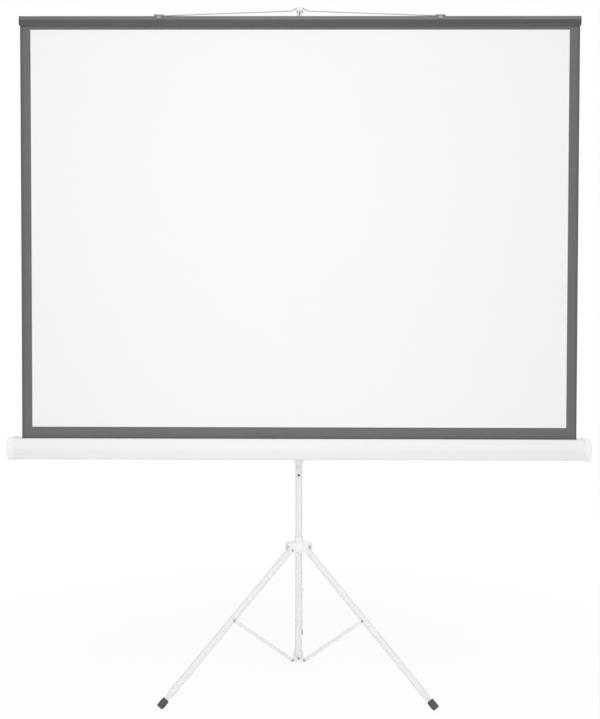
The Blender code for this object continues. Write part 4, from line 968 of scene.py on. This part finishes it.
class SCREEN_OT_stage(PieceOperator):
    """Builds the floor, the light and the camera"""

    bl_idname = "screen.stage"
    bl_label = "Stage"

    def build(self):
        scene = bpy.context.scene
        scene.view_settings.view_transform = "Standard"
        self.make_floor()
        self.make_world(scene)
        for lamp in LAMPS:
            self.make_lamp(*lamp)
        self.make_camera(scene)

    def make_floor(self):
        """A pale floor that fades to the white background away from the stand."""
        bm = bmesh.new()
        bmesh.ops.create_circle(bm, cap_ends=True, radius=FLOOR_RADIUS, segments=FLOOR_STEPS)
        mesh = bpy.data.meshes.new("floor")
        bm.to_mesh(mesh)
        bm.free()
        floor = bpy.data.objects.new("floor", mesh)
        floor.location.z = -FLOOR_DROP
        bpy.context.scene.collection.objects.link(floor)
        made = bpy.data.materials.new("studio_floor_painted")
        made.use_nodes = True
        tree = made.node_tree
        tree.nodes.clear()
        coords = add_node(tree, "ShaderNodeTexCoord").outputs["Object"]
        far = add_node(tree, "ShaderNodeVectorMath", {"operation": "LENGTH"}, {0: coords})
        settings = {
            "interpolation_type": "SMOOTHSTEP",
            "From Min": FLOOR_FADE[0],
            "From Max": FLOOR_FADE[1],
            "To Min": FLOOR_NEAR_SHARE,
        }
        fade = add_node(tree, "ShaderNodeMapRange", settings, {"Value": far.outputs["Value"]})
        near = add_node(tree, "ShaderNodeBsdfDiffuse", {"Color": FLOOR_GREY})
        white = add_node(tree, "ShaderNodeEmission", {"Color": WHITE, "Strength": 1})
        factors = {0: self.direct_or_glossy(tree)[0], 1: fade.outputs["Result"]}
        share = add_node(tree, "ShaderNodeMath", {"operation": "MULTIPLY"}, factors)
        shades = {0: share.outputs["Value"], 1: near.outputs[0], 2: white.outputs[0]}
        mixed = add_node(tree, "ShaderNodeMixShader", None, shades)
        add_node(tree, "ShaderNodeOutputMaterial", None, {"Surface": mixed.outputs[0]})
        mesh.materials.append(made)

    def direct_or_glossy(self, tree):
        """A value of 1 for rays from the camera or a reflection, and the ray's kinds as sockets."""
        kinds = add_node(tree, "ShaderNodeLightPath").outputs
        rays = {0: kinds["Is Camera Ray"], 1: kinds["Is Glossy Ray"]}
        seen = add_node(tree, "ShaderNodeMath", {"operation": "ADD"}, rays)
        return seen.outputs["Value"], kinds

    def make_world(self, scene):
        """White all round to the camera and in reflections, and a soft fill for the rest."""
        world = bpy.data.worlds.new("studio")
        scene.world = world
        world.use_nodes = True
        tree = world.node_tree
        tree.nodes.clear()
        seen, kinds = self.direct_or_glossy(tree)
        rays = {0: seen, 1: kinds["Is Transmission Ray"]}
        seen = add_node(tree, "ShaderNodeMath", {"operation": "ADD", "use_clamp": True}, rays)
        fill = add_node(tree, "ShaderNodeBackground", {"Color": WHITE, "Strength": FILL_STRENGTH})
        white = add_node(tree, "ShaderNodeBackground", {"Color": WHITE, "Strength": 1})
        shades = {0: seen.outputs["Value"], 1: fill.outputs[0], 2: white.outputs[0]}
        mixed = add_node(tree, "ShaderNodeMixShader", None, shades)
        add_node(tree, "ShaderNodeOutputWorld", None, {"Surface": mixed.outputs[0]})

    def make_lamp(self, name, where, target, size, power):
        """A square softbox facing a point."""
        lamp = bpy.data.lights.new(name, "AREA")
        lamp.size = size
        lamp.energy = power
        held = bpy.data.objects.new(name, lamp)
        held.location = where
        held.rotation_euler = (Vector(target) - Vector(where)).to_track_quat("-Z", "Y").to_euler()
        bpy.context.scene.collection.objects.link(held)

    def make_camera(self, scene):
        """The photograph's camera."""
        data = bpy.data.cameras.new("camera")
        data.lens = CAMERA_LENS
        data.sensor_width = CAMERA_SENSOR
        data.clip_start, data.clip_end = CAMERA_CLIP
        camera = bpy.data.objects.new("camera", data)
        sin, cos = math.sin, math.cos
        yaw, pitch, roll = CAMERA_YAW, CAMERA_PITCH, CAMERA_ROLL
        ahead = Vector((sin(yaw) * cos(pitch), cos(yaw) * cos(pitch), -sin(pitch)))
        right = Vector((cos(yaw), -sin(yaw), 0))
        above = right.cross(ahead)
        across = right * cos(roll) + above * sin(roll)
        upright = above * cos(roll) - right * sin(roll)
        origin = (CAMERA_X, MAST_Y - CAMERA_DISTANCE, CAMERA_HEIGHT)
        camera.matrix_world = axes_matrix(origin, across, upright, -ahead)
        scene.collection.objects.link(camera)
        scene.camera = camera


class SCREEN_PT_pieces(bpy.types.Panel):
    """Lists the steps that build the screen"""

    bl_idname = "SCREEN_PT_pieces"
    bl_label = "Tripod Projector Screen"
    bl_space_type = "VIEW_3D"
    bl_region_type = "UI"
    bl_category = "Screen"

    def draw(self, context):
        layout = self.layout
        for step in STEPS:
            layout.operator(step.bl_idname)
        for group in (context.scene.screen_sizes, context.scene.screen_colours):
            box = layout.box()
            for key in group.bl_rna.properties.keys():
                if key not in ("rna_type", "name"):
                    box.prop(group, key)


STEPS = (
    SCREEN_OT_mast,
    SCREEN_OT_extension,
    SCREEN_OT_carriage,
    SCREEN_OT_case,
    SCREEN_OT_roller,
    SCREEN_OT_cloth,
    SCREEN_OT_bar,
    SCREEN_OT_bail,
    SCREEN_OT_yoke,
    SCREEN_OT_legs,
    SCREEN_OT_remaining,
    SCREEN_OT_stage,
)
CLASSES = (ScreenSizes, ScreenColours, *STEPS, SCREEN_PT_pieces)


def register():
    """Registers the classes and hangs the sizes and colours on the scene."""
    for each in CLASSES:
        bpy.utils.register_class(each)
    bpy.types.Scene.screen_sizes = PointerProperty(type=ScreenSizes)
    bpy.types.Scene.screen_colours = PointerProperty(type=ScreenColours)


def unregister():
    """Takes the classes away again."""
    del bpy.types.Scene.screen_colours
    del bpy.types.Scene.screen_sizes
    for each in reversed(CLASSES):
        bpy.utils.unregister_class(each)


def main():
    """Builds every piece in order."""
    register()
    for step in STEPS:
        group, name = step.bl_idname.split(".")
        getattr(getattr(bpy.ops, group), name)()


if __name__ == "__main__":
    main()
